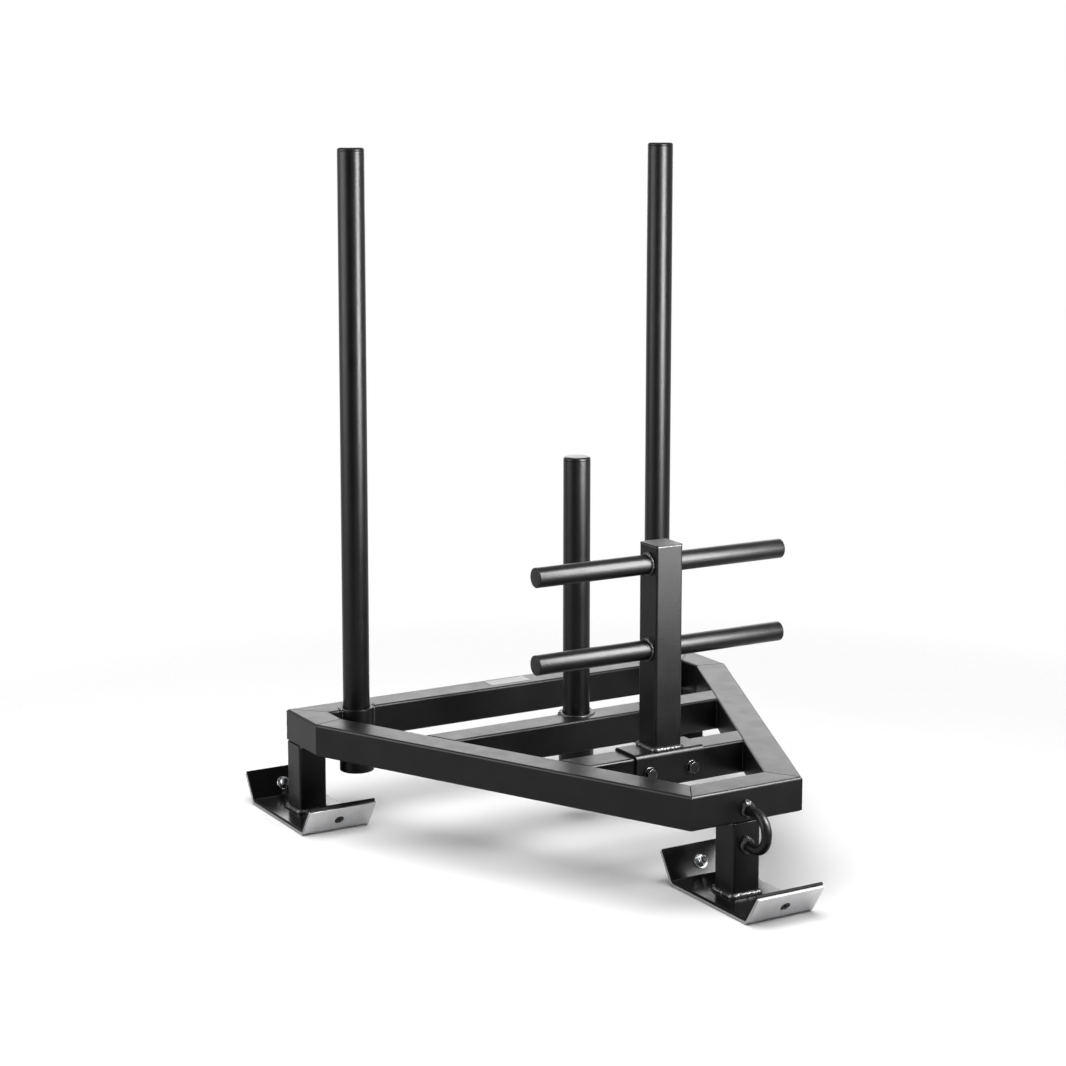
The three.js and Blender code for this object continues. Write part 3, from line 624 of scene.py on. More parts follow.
frame_low, frame_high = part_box("front_tube")
TUBE_WIDTH = frame_high.z - frame_low.z
HALF_WIDTH = FRAME_WIDTH / 2
HALF_FRONT = FRONT_TUBE_LENGTH / 2
FRAME_FRONT = frame_low.y
FRAME_REAR = FRAME_FRONT + FRAME_LENGTH
CORNER_Y = FRAME_REAR - CORNER_TUBE_LENGTH
LEFT_CORNERS = [(-HALF_WIDTH, FRAME_REAR), (-HALF_WIDTH, CORNER_Y), (-HALF_FRONT, FRAME_FRONT)]
PLAN_CORNERS = LEFT_CORNERS + [(-x, y) for x, y in reversed(LEFT_CORNERS)]
FRAME_CORNERS = [Vector((x, y, frame_low.z)) for x, y in PLAN_CORNERS]
OUTLINE_TUBES = (
    "left_corner_tube", "left_side_tube", "front_tube", "right_side_tube", "right_corner_tube", "rear_tube",
)


def frame_corner(index):
    return FRAME_CORNERS[index % len(FRAME_CORNERS)]


def half_angle(index):
    corner = frame_corner(index)
    return (frame_corner(index - 1) - corner).angle(frame_corner(index + 1) - corner) / 2


def mitre_depth(index, across):
    half = half_angle(index)
    return across / math.tan(half) + SEAT_GAP / 2 / math.sin(half)


def notch_rods(*socket_nodes):
    rods = []
    for node in socket_nodes:
        centre = middle(node)
        radius = size_of(node).x / 2 + SEAT_GAP
        place = at_place(centre.x, centre.y, frame_low.z - TUBE_WIDTH / 2)
        rods.append(rod_mesh(radius, 0, 2 * TUBE_WIDTH, POST_FACES, place))
    return rods


def outline_tube(index, node):
    start = frame_corner(index)
    along = frame_corner(index + 1) - start
    length = along.length
    along.normalize()
    place = basis(start, Z_AXIS.cross(along), Z_AXIS, along)
    cutters = notch_rods(*POLE_SOCKETS) if node == "rear_tube" else ()

    def start_at(across):
        return mitre_depth(index, across)

    def end_at(across):
        return length - mitre_depth(index + 1, across)
    square_tube(node, TUBE_WIDTH, start_at, end_at, place, MITRE_GROOVE, cutters)


SIDE_RUN = (FRAME_CORNERS[2] - FRAME_CORNERS[1]).normalized()
SIDE_SLOPE = -SIDE_RUN.x / SIDE_RUN.y


def inside_half_width(y):
    """Half the width between the side tubes' inner faces, less the fit's gap."""
    return HALF_WIDTH + (y - CORNER_Y) * SIDE_SLOPE - (TUBE_WIDTH + SEAT_GAP) / -SIDE_RUN.y


def crossbar(node, cutters):
    front_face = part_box(node)[0].y

    def start_at(across):
        return -inside_half_width(front_face + across)

    def end_at(across):
        return inside_half_width(front_face + across)
    place = along_x(0, front_face, frame_low.z)
    square_tube(node, TUBE_WIDTH, start_at, end_at, place, CROSSBAR_GROOVE, cutters)


SADDLE_BOLTS = ("saddle_left", "saddle_right")


def bolt_rods():
    rods = []
    for prefix in SADDLE_BOLTS:
        place = to_front(*middle(f"{prefix}_bolt"))
        rods.append(rod_mesh(BOLT_RADIUS + SEAT_GAP, -2 * TUBE_WIDTH, 2 * TUBE_WIDTH, SMALL_FACES, place))
    return rods


for index, name in enumerate(OUTLINE_TUBES):
    outline_tube(index, name)
crossbar("centre_crossbar", notch_rods("weight_post_socket"))
crossbar("front_crossbar", bolt_rods())


# Upright square tubes: legs and handle post
LEG_PREFIXES = ("left_rear", "right_rear", "front")
HANDLE_BARS = ("lower_handle_bar", "upper_handle_bar")


def upright_tube(node, cutters=()):
    low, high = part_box(node)
    start_at, end_at = steady(0), steady(high.z - low.z)
    square_tube(node, high.x - low.x, start_at, end_at, at_place(*low), UPRIGHT_GROOVE, cutters)


def bar_rods():
    reach = size_of("handle_post").x
    rods = []
    for node in HANDLE_BARS:
        radius = size_of(node).z / 2 + SEAT_GAP
        rods.append(rod_mesh(radius, -reach, reach, BAR_FACES, along_x(*middle(node))))
    return rods


for prefix in LEG_PREFIXES:
    upright_tube(f"{prefix}_leg")
upright_tube("handle_post", bar_rods())


# Handle: its cap plate and bars
HANDLE_CAP_EDGE = 0.9 * MM


def square_plate(node, edge):
    low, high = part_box(node)
    corners = rectangle(high.x - low.x, high.y - low.y)
    mesh = plate_mesh(node, corners, [TUBE_CORNER] * len(corners), high.z - low.z, at_place(*low), edge)
    stand_in(node, mesh, "plate")


def handle_bar(node):
    half = size_of(node).x / 2
    radius = size_of(node).z / 2
    edge = HANDLE_BAR_EDGE
    rings = [(0, -half)]
    rings += rounded(radius - edge, edge - half, edge, BAR_STEPS, LOWER_OUTER)
    rings += rounded(radius - edge, half - edge, edge, BAR_STEPS, UPPER_OUTER)
    rings += [(0, half)]
    turned(node, rings, along_x(*middle(node)), BAR_FACES, "tube")


square_plate("handle_post_cap", HANDLE_CAP_EDGE)
for name in HANDLE_BARS:
    handle_bar(name)


# Saddle: a plate bent down over the front crossbar
SADDLE_RIM = 0.6 * MM
SADDLE_END_EDGE = 0.5 * MM


def saddle():
    node = "handle_saddle"
    low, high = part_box(node)
    half = (high.y - low.y) / 2
    depth = high.z - low.z
    inside = half - SADDLE_THICKNESS
    corners = [(-half, -depth), (-inside, -depth), (-inside, -SADDLE_THICKNESS), (inside, -SADDLE_THICKNESS)]
    corners += [(inside, -depth), (half, -depth), (half, 0), (-half, 0)]
    rim, inner, outer = SADDLE_RIM, SADDLE_INSIDE_RADIUS, SADDLE_INSIDE_RADIUS + SADDLE_THICKNESS
    radii = [rim, rim, inner, inner, rim, rim, outer, outer]
    place = along_x(low.x, middle(node).y, high.z)
    mesh = plate_mesh(node, corners, radii, high.x - low.x, place, SADDLE_END_EDGE)
    stand_in(node, carved(mesh, bolt_rods()), "plate")


saddle()


# Skids: both plates bent up at their two ends, and countersunk for the screws
SKID_GRIP = 2 * SKID_PLATE + 2 * SEAT_GAP
SKID_NUT_FACE = SKID_GRIP + SKID_WASHER_THICKNESS + SEAT_GAP
SKID_RIM = 0.7 * MM
SKID_SIDE_EDGE = 0.6 * MM
EDGE_FACING = 0.3


def on_flange(prefix, side):
    """Place of a skid's screw: the third axis points out of the sled."""
    up_flange = Vector((0, side * math.cos(SKID_FLARE), math.sin(SKID_FLARE)))
    outward = Vector((0, side * math.sin(SKID_FLARE), -math.cos(SKID_FLARE)))
    shoe = middle(f"{prefix}_shoe")
    origin = Vector((shoe.x, shoe.y + side * SKID_FLAT_LENGTH / 2, 0)) + up_flange * SCREW_UP_FLANGE
    return basis(origin, up_flange.cross(outward), up_flange, outward)


def screw_hole(place):
    head, shank = SCREW_HEAD_RADIUS + SEAT_GAP, SCREW_RADIUS + SEAT_GAP
    reach = 2 * SKID_GRIP
    rings = [(0, -reach), (shank, -reach), (shank, -SCREW_HEAD_DEPTH)]
    rings += [(head, -SCREW_HEAD_LAND), (head, reach), (0, reach)]
    return turned_mesh("hole", rings, SMALL_FACES, place)


def cut_edges(piece, above, side_material, end_material):
    """Gives a bent plate's cut sides and its two cut ends their own materials."""
    piece.data.materials.append(side_material)
    piece.data.materials.append(end_material)
    for polygon in piece.data.polygons:
        if abs(polygon.normal.x) > EDGE_FACING:
            polygon.material_index = 1
        elif polygon.center.z > above and polygon.normal.z > math.cos(SKID_FLARE):
            polygon.material_index = 2


def skid_plate(prefix, kind, depth, flange_length, material, edge_materials):
    """A bent plate whose outer face lies a depth in from the skid's outer surface."""
    node = f"{prefix}_{kind}"
    half = SKID_FLAT_LENGTH / 2

    def flange_end(side, inside):
        y = side * (half + flange_length * math.cos(SKID_FLARE) - inside * math.sin(SKID_FLARE))
        return y, flange_length * math.sin(SKID_FLARE) + inside * math.cos(SKID_FLARE)

    def bend(side, inside):
        return side * (half - inside * math.tan(SKID_FLARE / 2)), inside
    inner = depth + SKID_PLATE
    corners = [flange_end(-1, depth), bend(-1, depth), bend(1, depth), flange_end(1, depth)]
    corners += [flange_end(1, inner), bend(1, inner), bend(-1, inner), flange_end(-1, inner)]
    outer_bend, inner_bend = SKID_BEND_RADIUS - depth, SKID_BEND_RADIUS - inner
    radii = [SKID_RIM, outer_bend, outer_bend, SKID_RIM, SKID_RIM, inner_bend, inner_bend, SKID_RIM]
    shoe = middle(f"{prefix}_shoe")
    place = along_x(shoe.x - SKID_WIDTH / 2, shoe.y, 0)
    mesh = plate_mesh(node, corners, radii, SKID_WIDTH, place, SKID_SIDE_EDGE)
    mesh = carved(mesh, [screw_hole(on_flange(prefix, side)) for side in (-1, 1)])
    piece = stand_in(node, mesh, "plate", material)
    cut_edges(piece, flange_end(1, depth)[1] - SKID_PLATE, *edge_materials)


# Fasteners, each turned round its own axis
THREAD_DEPTH = 0.5 * MM
THREAD_TURNS = 4
TAIL_BEVEL_PITCHES = 0.8
SCREW_BEVEL = 0.2 * MM
KEY_BEVEL = 0.5 * MM
KEY_POINT = 4.2 * MM
WASHER_EDGE = 0.4 * MM
HEX_INSET = 0.02 * MM
HEX_CHAMFER = math.tan(math.radians(30))


def threaded_tail(radius, tail, pitch, lead, runout):
    """Rings up a bolt from its tail: a bevelled end, ridges of thread and the start of the plain shank."""
    root = radius - THREAD_DEPTH
    rings = [(0, tail), (radius - TAIL_BEVEL_PITCHES * pitch, tail)]
    for k in range(THREAD_TURNS):
        base = tail + lead + k * pitch
        rings += [(root, base), (radius, base + pitch / 2)]
    top = tail + lead + THREAD_TURNS * pitch
    return rings + [(root, top), (radius, top + runout)]


def skid_screw(node, place):
    tail = -SKID_NUT_FACE - SKID_NUT_HEIGHT - SKID_COLLAR_HEIGHT - SCREW_TAIL
    top = -SEAT_GAP
    key, key_mouth = hexed(SCREW_KEY_WIDTH), hexed(SCREW_KEY_WIDTH + 2 * KEY_BEVEL)
    rings = threaded_tail(SCREW_RADIUS, tail, pitch=1.5 * MM, lead=0.7 * MM, runout=0.3 * MM)
    rings += [(SCREW_RADIUS, -SCREW_HEAD_DEPTH), (SCREW_HEAD_RADIUS, -SCREW_HEAD_LAND)]
    rings += [(SCREW_HEAD_RADIUS, top - SCREW_BEVEL), (SCREW_HEAD_RADIUS - SCREW_BEVEL, top)]
    rings += [(key_mouth, top), (key, top - KEY_BEVEL), (key, top - SCREW_KEY_DEPTH), (0, top - KEY_POINT)]
    turned(node, rings, place)


def washer(node, inner, outer, thickness, place):
    """A washer up from its place, with stamped, softened rims."""
    edge = WASHER_EDGE
    rings = [(inner + edge, 0), (outer - edge, 0), (outer, edge), (outer, thickness - edge)]
    rings += [(outer - edge, thickness), (inner + edge, thickness), (inner, thickness - edge), (inner, edge)]
    turned(node, rings, place)


def hex_bevel(across_flats, height, rise):
    """Height of a hex's turned corners: a cone that meets the flats' middles at a height."""
    corner = hexed(across_flats)
    return lambda angle: height - rise * (corner(angle) - across_flats / 2) * HEX_CHAMFER


NUT_MOUTH = 0.8 * MM
NUT_TAPER = 0.2 * MM
NUT_BEVEL = 0.3 * MM
COLLAR_ROLL = 1.4 * MM
NYLON_INWARD = 0.6 * MM
NYLON_OUTWARD = 1.2 * MM
NYLON_SUNK = 0.9 * MM
NYLON_EDGE = 0.4 * MM
NEARLY = 0.1 * MM


def lock_nut(node, bore, across_flats, height, collar_height, place):
    """Nut that stands up from its place: hex, then a round collar rolled in over a nylon ring."""
    flat = across_flats / 2
    sides = hexed(across_flats, HEX_INSET)
    roll_centre = flat - collar_height / 4 - COLLAR_ROLL
    top = height + collar_height
    nylon_in, nylon_out, nylon_top = bore - NYLON_INWARD, bore + NYLON_OUTWARD, top - NYLON_SUNK
    rings = [(bore + NUT_MOUTH, 0), (flat - 2 * NUT_TAPER, 0), (flat - NUT_TAPER, NUT_BEVEL)]
    rings += [(sides, hex_bevel(across_flats, NUT_BEVEL, -1)), (sides, hex_bevel(across_flats, height, 1))]
    rings += [(flat - NUT_BEVEL, height), (roll_centre + COLLAR_ROLL, height)]
    rings += rounded(roll_centre, top - COLLAR_ROLL, COLLAR_ROLL, COLLAR_STEPS, UPPER_OUTER)
    rings += [(nylon_out + NUT_TAPER, top), (nylon_out, top - NUT_BEVEL), (nylon_out, nylon_top)]
    rings += [(nylon_in + NYLON_EDGE, nylon_top), (nylon_in, nylon_top - NYLON_EDGE), (nylon_in, height)]
    rings += [(bore, height), (bore, NUT_MOUTH)]
    piece = turned(node, rings, place)
    piece.data.materials.append(nylon)
    back = place.inverted()
    for polygon in piece.data.polygons:
        local = back @ polygon.center
        if local.xy.length < nylon_out - NEARLY and local.z > height + NEARLY:
            polygon.material_index = 1


def skid(prefix):
    skid_plate(prefix, "wear_plate", 0, SKID_FLANGE_LENGTH, wear_steel, (side_cut, shaded_end_cut))
    shoe_flange = SKID_FLANGE_LENGTH + SHOE_EDGE_RISE
    skid_plate(prefix, "shoe", SKID_PLATE + SEAT_GAP, shoe_flange, gloss_coat, (edge_coat, edge_coat))
    bore = SCREW_RADIUS + SEAT_GAP
    for end, side in (("front", -1), ("rear", 1)):
        place = on_flange(prefix, side)
        names = f"{prefix}_skid_{end}"
        skid_screw(f"{names}_screw", place)
        washer_place = place @ at_place(0, 0, -SKID_GRIP - SKID_WASHER_THICKNESS)
        washer(f"{names}_washer", bore, SKID_WASHER_RADIUS, SKID_WASHER_THICKNESS, washer_place)
        nut_place = place @ at_place(0, 0, -SKID_NUT_FACE) @ Matrix.Rotation(math.pi, 4, "X")
        lock_nut(f"{names}_nut", bore, SKID_NUT_WIDTH, SKID_NUT_HEIGHT, SKID_COLLAR_HEIGHT, nut_place)


for prefix in LEG_PREFIXES:
    skid(prefix)


# Saddle bolts: heads at the front, nuts behind
HEAD_FACE_INSET = 0.5 * MM
HEAD_SKIRT = 0.4 * MM
HEAD_HEX_FROM = 0.45 * MM
HEAD_TOP_INSET = 0.3 * MM
DISH_INSET = 2.2 * MM
DISH_EDGE_DEPTH = 0.25 * MM
DISH_DEPTH = 0.3 * MM


def saddle_bolt(prefix):
    low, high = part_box(f"{prefix}_bolt")
    centre = middle(f"{prefix}_bolt")
    seat_y = low.y + BOLT_HEAD_HEIGHT
    flat = BOLT_HEAD_WIDTH / 2
    sides = hexed(BOLT_HEAD_WIDTH, HEX_INSET)
    top = BOLT_HEAD_HEIGHT
    rings = threaded_tail(BOLT_RADIUS, seat_y - high.y, pitch=1.75 * MM, lead=0.8 * MM, runout=0.4 * MM)
    rings += [(BOLT_RADIUS, 0), (flat - HEAD_FACE_INSET, 0), (flat - HEAD_SKIRT, HEAD_SKIRT)]
    rings += [(sides, HEAD_HEX_FROM), (sides, hex_bevel(BOLT_HEAD_WIDTH, top, 1))]
    rings += [(flat - HEAD_TOP_INSET, top), (flat - DISH_INSET, top - DISH_EDGE_DEPTH), (0, top - DISH_DEPTH)]
    place = to_front(centre.x, seat_y, centre.z)
    turned(f"{prefix}_bolt", rings, place)
    bore = BOLT_RADIUS + SEAT_GAP
    for end in ("front", "rear"):
        node = f"{prefix}_{end}_washer"
        place = to_front(centre.x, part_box(node)[0].y + BOLT_WASHER_THICKNESS, centre.z)
        washer(node, bore, BOLT_WASHER_RADIUS, BOLT_WASHER_THICKNESS, place)
    node = f"{prefix}_nut"
    place = basis(Vector((centre.x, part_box(node)[0].y, centre.z)), X_AXIS, -Z_AXIS, Y_AXIS)
    lock_nut(node, bore, BOLT_HEAD_WIDTH, BOLT_NUT_HEIGHT, BOLT_COLLAR_HEIGHT, place)


for prefix in SADDLE_BOLTS:
    saddle_bolt(prefix)


# Tow eye: round bar bent to a half ring with two straight ends
EYE_BEND_STEPS = 40
EYE_STEP = 2 * MM


def tow_eye():
    node = "tow_eye"
    radius = size_of(node).x / 2
    foot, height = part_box(node)[1].y, middle(node).z
    points = [(0, foot, height + TOW_EYE_BEND)]
    for k in range(EYE_BEND_STEPS + 1):
        a = math.pi * k / EYE_BEND_STEPS
        y = foot - TOW_EYE_STRAIGHT - TOW_EYE_BEND * math.sin(a)
        points.append((0, y, height + TOW_EYE_BEND * math.cos(a)))
    points.append((0, foot, height - TOW_EYE_BEND))

    def bar(point, run, length, angle):
        return radius
    stand_in(node, swept_mesh(node, points, X_AXIS, bar, EYE_STEP, EYE_FACES), "bar")


tow_eye()


# Weld beads: a rippled rod half sunk in the corner that it fills, with knobs, heavier spots where it started
BEAD_STEP = 0.9 * MM
COIN_PITCH = 3.6 * MM
COIN_SHARE = 0.16
LUMP_SHARE = 0.22
LUMPS_PER_METRE = 210
END_SHARE = 0.02
SINK_SHARE = 0.35
RING_STEPS = 48
FOOT_BEAD = 5 * MM
HANDLE_FOOT_BEAD = 4.4 * MM
TOP_BEAD = 3.4 * MM
BAR_BEAD = 2.8 * MM
SOCKET_BEAD = 2 * MM
SIDE_FILLET = 3 * MM
CROSSBAR_BEAD = 2.6 * MM
TOW_EYE_BEAD = 4 * MM
MITRE_SEAM = 1.2 * MM
CAP_SEAM = 1.1 * MM
Knob = namedtuple("Knob", "place growth reach")


def bead(name, points, normal, radius, closed=False, knobs=(), material=weld_coat):
    def radius_at(point, run, length, angle):
        coin = abs(math.sin(math.pi * (run + radius / 2 * math.cos(angle)) / COIN_PITCH))
        lump = noise.noise(LUMPS_PER_METRE * point + Vector((math.cos(angle), math.sin(angle), 0)))
        reach = radius * (1 - COIN_SHARE * (1 - coin) + LUMP_SHARE * lump)
        for knob in knobs:
            distance = (point - Vector(knob.place)).length
            reach *= 1 + knob.growth * math.exp(-(distance / knob.reach) ** 2)
        if closed:
            return reach
        to_end = min(run, length - run)
        if to_end >= radius:
            return reach
        return reach * math.sqrt(max(1 - (1 - to_end / radius) ** 2, END_SHARE))
    mesh = swept_mesh(name, points, normal, radius_at, BEAD_STEP, BEAD_FACES, closed)
    return finish_mesh(name, mesh, material, "sled")


def ring_points(centre, across, up, radius, from_degrees=0, to_degrees=360):
    """Points round part of a circle in the plane of two directions."""
    whole = to_degrees - from_degrees == 360
    points = []
    for k in range(RING_STEPS if whole else RING_STEPS + 1):
        a = math.radians(from_degrees + (to_degrees - from_degrees) * k / RING_STEPS)
        points.append(Vector(centre) + radius * (math.cos(a) * across + math.sin(a) * up))
    return points


def square_points(node, height, out):
    """Points round an upright square tube, a little out from its faces."""
    low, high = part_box(node)
    corners = [(low.x - out, low.y - out), (high.x + out, low.y - out)]
    corners += [(high.x + out, high.y + out), (low.x - out, high.y + out)]
    return [(p.x, p.y, height) for p in outline(corners, [TUBE_CORNER + out] * len(corners))]


def foot_bead(node, radius, growth, reach):
    """All round the foot of an upright square tube, heavier at its left front corner."""
    out = SINK_SHARE * radius
    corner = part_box(node)[0]
    points = square_points(node, corner.z + out, out)
    bead(f"{node}_foot_weld", points, Z_AXIS, radius, closed=True, knobs=[Knob(corner, growth, reach)])


for prefix in LEG_PREFIXES:
    foot_bead(f"{prefix}_leg", FOOT_BEAD, growth=0.25, reach=6 * MM)
foot_bead("handle_post", HANDLE_FOOT_BEAD, growth=0.35, reach=5 * MM)


# Leg tops: only the faces that stand back from the frame's outer faces
TOP_OUT = SINK_SHARE * TOP_BEAD
TOP_TURN = 4 * MM
TOP_STOP = 2 * MM


def top_bead(prefix, corner_points):
    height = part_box(f"{prefix}_leg")[1].z - TOP_OUT
    bead(f"{prefix}_leg_top_weld", [(x, y, height) for x, y in corner_points], Z_AXIS, TOP_BEAD)


def rear_top_bead(prefix, side):
    low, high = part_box(f"{prefix}_leg")
    inner_x = (high.x if side < 0 else low.x) - side * TOP_OUT
    outer_x = (low.x if side < 0 else high.x) - side * TOP_STOP
    top_bead(prefix, [
        (outer_x, low.y - TOP_OUT),
        (inner_x + side * TOP_TURN, low.y - TOP_OUT),
        (inner_x, low.y - TOP_OUT + TOP_TURN),
        (inner_x, high.y - TOP_STOP),
    ])


def front_top_bead(prefix):
    low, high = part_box(f"{prefix}_leg")
    left, right, back = low.x - TOP_OUT, high.x + TOP_OUT, high.y + TOP_OUT
    top_bead(prefix, [
        (left, low.y + TOP_STOP),
        (left, back - TOP_TURN),
        (left + TOP_TURN, back),
        (right - TOP_TURN, back),
        (right, back - TOP_TURN),
        (right, low.y + TOP_STOP),
    ])


rear_top_bead("left_rear", -1)
rear_top_bead("right_rear", 1)
front_top_bead("front")


# Handle bars through the post, with a heavy spot on top at each side
SPOT_FORWARD = 0.25


def bar_beads(node):
    centre = middle(node)
    radius = size_of(node).z / 2
    out = SINK_SHARE * BAR_BEAD
    for side, word in ((-1, "left"), (1, "right")):
        x = side * (size_of("handle_post").x / 2 + out)
        points = ring_points((x, centre.y, centre.z), Y_AXIS, Z_AXIS, radius + out)
        top = (x, centre.y - SPOT_FORWARD * radius, centre.z + radius)
        knob = Knob(top, growth=0.9, reach=4.5 * MM)
        bead(f"{node}_{word}_weld", points, X_AXIS, BAR_BEAD, closed=True, knobs=[knob])


for name in HANDLE_BARS:
    bar_beads(name)


# Sockets: an arc over the tube's top, and a heavier fillet down each side of the cup
ARC_LIFT = 0.2 * MM
FILLET_STOP = 2 * MM


def socket_beads(node, face, side):
    """side is +1 where the cup stands out of the tube's rear face and -1 out of its front face."""
    centre = middle(node)
    radius = size_of(node).x / 2
    out = SINK_SHARE * SOCKET_BEAD
    lean = math.degrees(math.asin((face - centre.y) / radius))
    sweep = (180 - lean, 360 + lean) if side > 0 else (lean, 180 - lean)
    arc_centre = (centre.x, centre.y, frame_high.z + ARC_LIFT)
    points = ring_points(arc_centre, X_AXIS, Y_AXIS, radius + out, *sweep)
    knobs = [Knob(end, growth=1.3, reach=4 * MM) for end in (points[0], points[-1])]
    bead(f"{node}_top_weld", points, Z_AXIS, SOCKET_BEAD, knobs=knobs)
    reach = radius * math.cos(math.radians(lean))
    for way, word in ((-1, "left"), (1, "right")):
        x = centre.x + way * (reach + out)
        y = face + side * out
        ends = [(x, y, frame_high.z), (x, y, frame_low.z + FILLET_STOP)]
        knob = Knob(ends[0], growth=0.45, reach=5 * MM)
        bead(f"{node}_{word}_weld", ends, Y_AXIS, SIDE_FILLET, knobs=[knob])


for name in POLE_SOCKETS:
    socket_beads(name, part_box("rear_tube")[0].y, -1)
socket_beads("weight_post_socket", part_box("centre_crossbar")[1].y, 1)


# Crossbars to the side tubes: fillets in the upright corners
CROSSBAR_STOP = 1.5 * MM


def crossbar_beads(node):
    out = SINK_SHARE * CROSSBAR_BEAD
    low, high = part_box(node)
    for face, way, face_word in ((low.y, -1, "front"), (high.y, 1, "rear")):
        for side, side_word in ((-1, "left"), (1, "right")):
            x = side * (inside_half_width(face) - out)
            y = face + way * out
            ends = [(x, y, frame_low.z + CROSSBAR_STOP), (x, y, frame_high.z - CROSSBAR_STOP)]
            name = f"{node}_{side_word}_{face_word}_weld"
            bead(name, ends, Y_AXIS, CROSSBAR_BEAD, material=coat)


crossbar_beads("centre_crossbar")
crossbar_beads("front_crossbar")


# Tow eye's feet: heavy, pulled up in a spot above each end
SPOT_LEFT = 2 * MM


def tow_eye_bead(word, way):
    radius = size_of("tow_eye").x / 2
    out = SINK_SHARE * TOW_EYE_BEAD
    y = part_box("tow_eye")[1].y - out
    height = middle("tow_eye").z + way * TOW_EYE_BEND
    points = ring_points((0, y, height), X_AXIS, Z_AXIS, radius + out)
    knob = Knob((-SPOT_LEFT, y, height + radius), growth=1.1, reach=5 * MM)
    bead(f"tow_eye_{word}_weld", points, Y_AXIS, TOW_EYE_BEAD, closed=True, knobs=[knob])


tow_eye_bead("upper", 1)
tow_eye_bead("lower", -1)


# Outer edges of the mitres: ground seams that stand a little proud
SEAM_SINK = 0.7
SEAM_START = 2 * MM
SEAM_STOP = 2.2 * MM
SEAM_WORDS = ("left_rear", "left_side", "front_left", "front_right", "right_side", "right_rear")


def mitre_seam(index, word):
    corner = frame_corner(index)
    arms = [(frame_corner(index + step) - corner).normalized() for step in (-1, 1)]
    inward = (arms[0] + arms[1]).normalized()
    foot = corner + inward * SEAM_SINK * MITRE_SEAM / math.sin(half_angle(index))
    ends = [foot + Z_AXIS * SEAM_START, foot + Z_AXIS * (TUBE_WIDTH - SEAM_STOP)]
    bead(f"{word}_mitre_weld", ends, inward, MITRE_SEAM, material=coat)


for index, word in enumerate(SEAM_WORDS):
    mitre_seam(index, word)


# Seam of the handle's cap plate
CAP_SEAM_SINK = 0.45
cap_seam_points = square_points("handle_post_cap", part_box("handle_post_cap")[0].z, -CAP_SEAM_SINK * CAP_SEAM)
bead("handle_post_cap_weld", cap_seam_points, Z_AXIS, CAP_SEAM, closed=True)


# The bare label place on the rear tube's top
LABEL_LEFT = -37 * MM
LABEL_FROM_REAR = 10 * MM
LABEL_WIDTH = 87 * MM
LABEL_DEPTH = 34 * MM
LABEL_THICKNESS = 0.35 * MM
LABEL_LIFT = 0.02 * MM
LABEL_CORNER = 2 * MM
LABEL_EDGE = 0.1 * MM


def label_place():
    corners = rectangle(LABEL_WIDTH, LABEL_DEPTH)
    front = FRAME_REAR - LABEL_FROM_REAR - LABEL_DEPTH
    place = at_place(LABEL_LEFT, front, frame_high.z + LABEL_LIFT)
    mesh = plate_mesh("label", corners, [LABEL_CORNER] * len(corners), LABEL_THICKNESS, place, LABEL_EDGE)
    finish_mesh("rear_tube_blank_label", mesh, label_film, "sled")


label_place()


# Studio: a pale floor that fades into the white background, and soft light
FLOOR_Z = -0.0005
FLOOR_SOLID_TO = 0.95
FLOOR_GONE_AT = 1.8
FLOOR_FACES = 96
FLOOR_TONES = ((0.93, 0.93, 0.93), (0.95, 0.95, 0.95))


def floor():
    bpy.ops.mesh.primitive_circle_add(
        vertices=FLOOR_FACES, radius=FLOOR_GONE_AT, fill_type="NGON", location=(0, 0, FLOOR_Z),
    )
    ground = bpy.context.object
    ground.name = "studio_floor"
    material, tree, shader = new_material("pale_floor")
    where = add_node(tree, "ShaderNodeTexCoord", {})
    distance = add_node(tree, "ShaderNodeVectorMath", {0: where.outputs["Object"]}, operation="LENGTH")
    feed(tree, shader, {
        "Base Color": blend_colours(tree, noise_node(tree, scale=3, detail=3), *FLOOR_TONES),
        "Roughness": 0.9,
        "Specular IOR Level": 0,
        "Alpha": spread(tree, distance.outputs["Value"], 1, 0, FLOOR_SOLID_TO, FLOOR_GONE_AT),
    })
    ground.data.materials.append(material)


def aim(thing, place, target, axis):
    """Puts a light or a card at a place, with one of its axes towards a target."""
    thing.location = place
    thing.rotation_euler = (Vector(target) - Vector(place)).to_track_quat(axis, "Y").to_euler()


def area_light(name, place, target, size, radiance, gloss=True):
    """A soft box of a given brightness, unseen by the camera, for gloss or for diffuse light alone."""
    width, height = size
    lamp = bpy.data.lights.new(name, "AREA")
    lamp.shape = "RECTANGLE"
    lamp.size = width
    lamp.size_y = height
    lamp.energy = radiance * math.pi * width * height
    holder = new_object(name, lamp)
    aim(holder, place, target, "-Z")
    holder.visible_camera = False
    holder.visible_glossy = gloss
    holder.visible_diffuse = not gloss


def strip_light(name, middle_z, height, radiance):
    """One length of the upright strip to the right of the camera, whose mirror image runs down the posts."""
    area_light(name, (0.39, -0.83, middle_z), (0.05, 0.13, middle_z), (0.62, height), radiance)


def dark_flag(name, place, target, size):
    """A dark studio card that only reflections show."""
    bpy.ops.mesh.primitive_plane_add(size=1)
    card = bpy.context.object
    card.name = name
    card.scale = (*size, 1)
    aim(card, place, target, "Z")
    material, tree, shader = new_material(name)
    feed(tree, shader, {"Base Color": (0.01, 0.01, 0.01), "Roughness": 1, "Specular IOR Level": 0})
    card.data.materials.append(material)
    for ray in ("camera", "diffuse", "shadow", "transmission", "volume_scatter"):
        setattr(card, f"visible_{ray}", False)


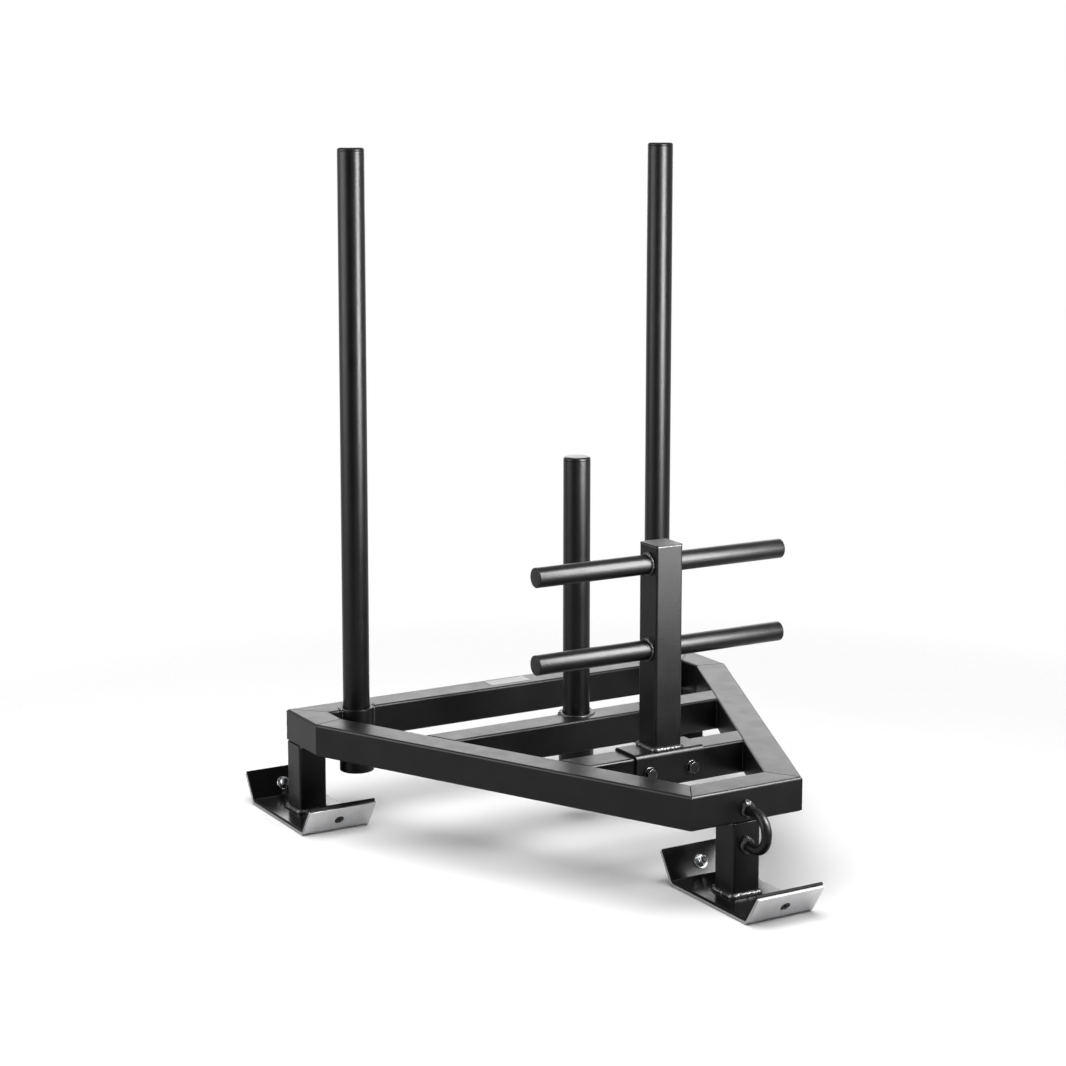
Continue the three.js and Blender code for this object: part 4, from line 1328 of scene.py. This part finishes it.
def studio_world():
    """White where the camera, a gloss or a clear piece looks, and dim elsewhere."""
    world = bpy.data.worlds.new("studio")
    bpy.context.scene.world = world
    world.use_nodes = True
    tree = world.node_tree
    tree.nodes.clear()
    path = add_node(tree, "ShaderNodeLightPath", {})
    seen = path.outputs["Is Camera Ray"]
    for ray in ("Is Glossy Ray", "Is Transmission Ray"):
        seen = combine(tree, "MAXIMUM", seen, path.outputs[ray])
    dim = add_node(tree, "ShaderNodeBackground", {"Strength": 0.1})
    white = add_node(tree, "ShaderNodeBackground", {"Color": WHITE, "Strength": 1})
    inputs = {"Fac": seen, 1: dim.outputs["Background"], 2: white.outputs["Background"]}
    mix = add_node(tree, "ShaderNodeMixShader", inputs)
    add_node(tree, "ShaderNodeOutputWorld", {"Surface": mix.outputs["Shader"]})


floor()
studio_world()
area_light("top_box", place=(-0.5, -0.3, 3.7), target=(0, 0, 0), size=(4.4, 4.4), radiance=3.85, gloss=False)
strip_light("strip_light", middle_z=1.13, height=1.16, radiance=67)
strip_light("low_strip", middle_z=0.4, height=0.3, radiance=13)
area_light("left_box", place=(-3.4, 0.9, 1.4), target=(0, 0, 0.5), size=(2.8, 2.4), radiance=8.6)
area_light("back_box", place=(1.9, 3.6, 1.7), target=(0, 0, 0.2), size=(3.8, 1.8), radiance=2.5)
dark_flag("left_flag", place=(-1.55, -1.15, 1.0), target=(0, 0, 1.0), size=(1.0, 2.0))
dark_flag("right_flag", place=(1.36, -1.76, 1.4), target=(0, -0.3, 0.1), size=(1.6, 1.8))


# Camera at the photograph's angle
def camera():
    lens = bpy.data.cameras.new("photo_camera")
    lens.sensor_width = 36
    lens.lens = 80.53
    lens.shift_y = -0.10
    lens.clip_end = 100
    holder = new_object("photo_camera", lens)
    holder.location = (-2.2657, -3.5435, 1.374)
    yaw, pitch, roll = math.radians(30.553), math.radians(8.385), math.radians(0.033)
    level_ahead = Vector((math.sin(yaw), math.cos(yaw), 0))
    ahead = level_ahead * math.cos(pitch) - Z_AXIS * math.sin(pitch)
    right = Vector((math.cos(yaw), -math.sin(yaw), 0))
    up = right.cross(ahead)
    turned_right = right * math.cos(roll) + up * math.sin(roll)
    turned_up = up * math.cos(roll) - right * math.sin(roll)
    holder.rotation_euler = Matrix((turned_right, turned_up, -ahead)).transposed().to_euler()
    bpy.context.scene.camera = holder


camera()
bpy.context.scene.view_settings.view_transform = "Standard"
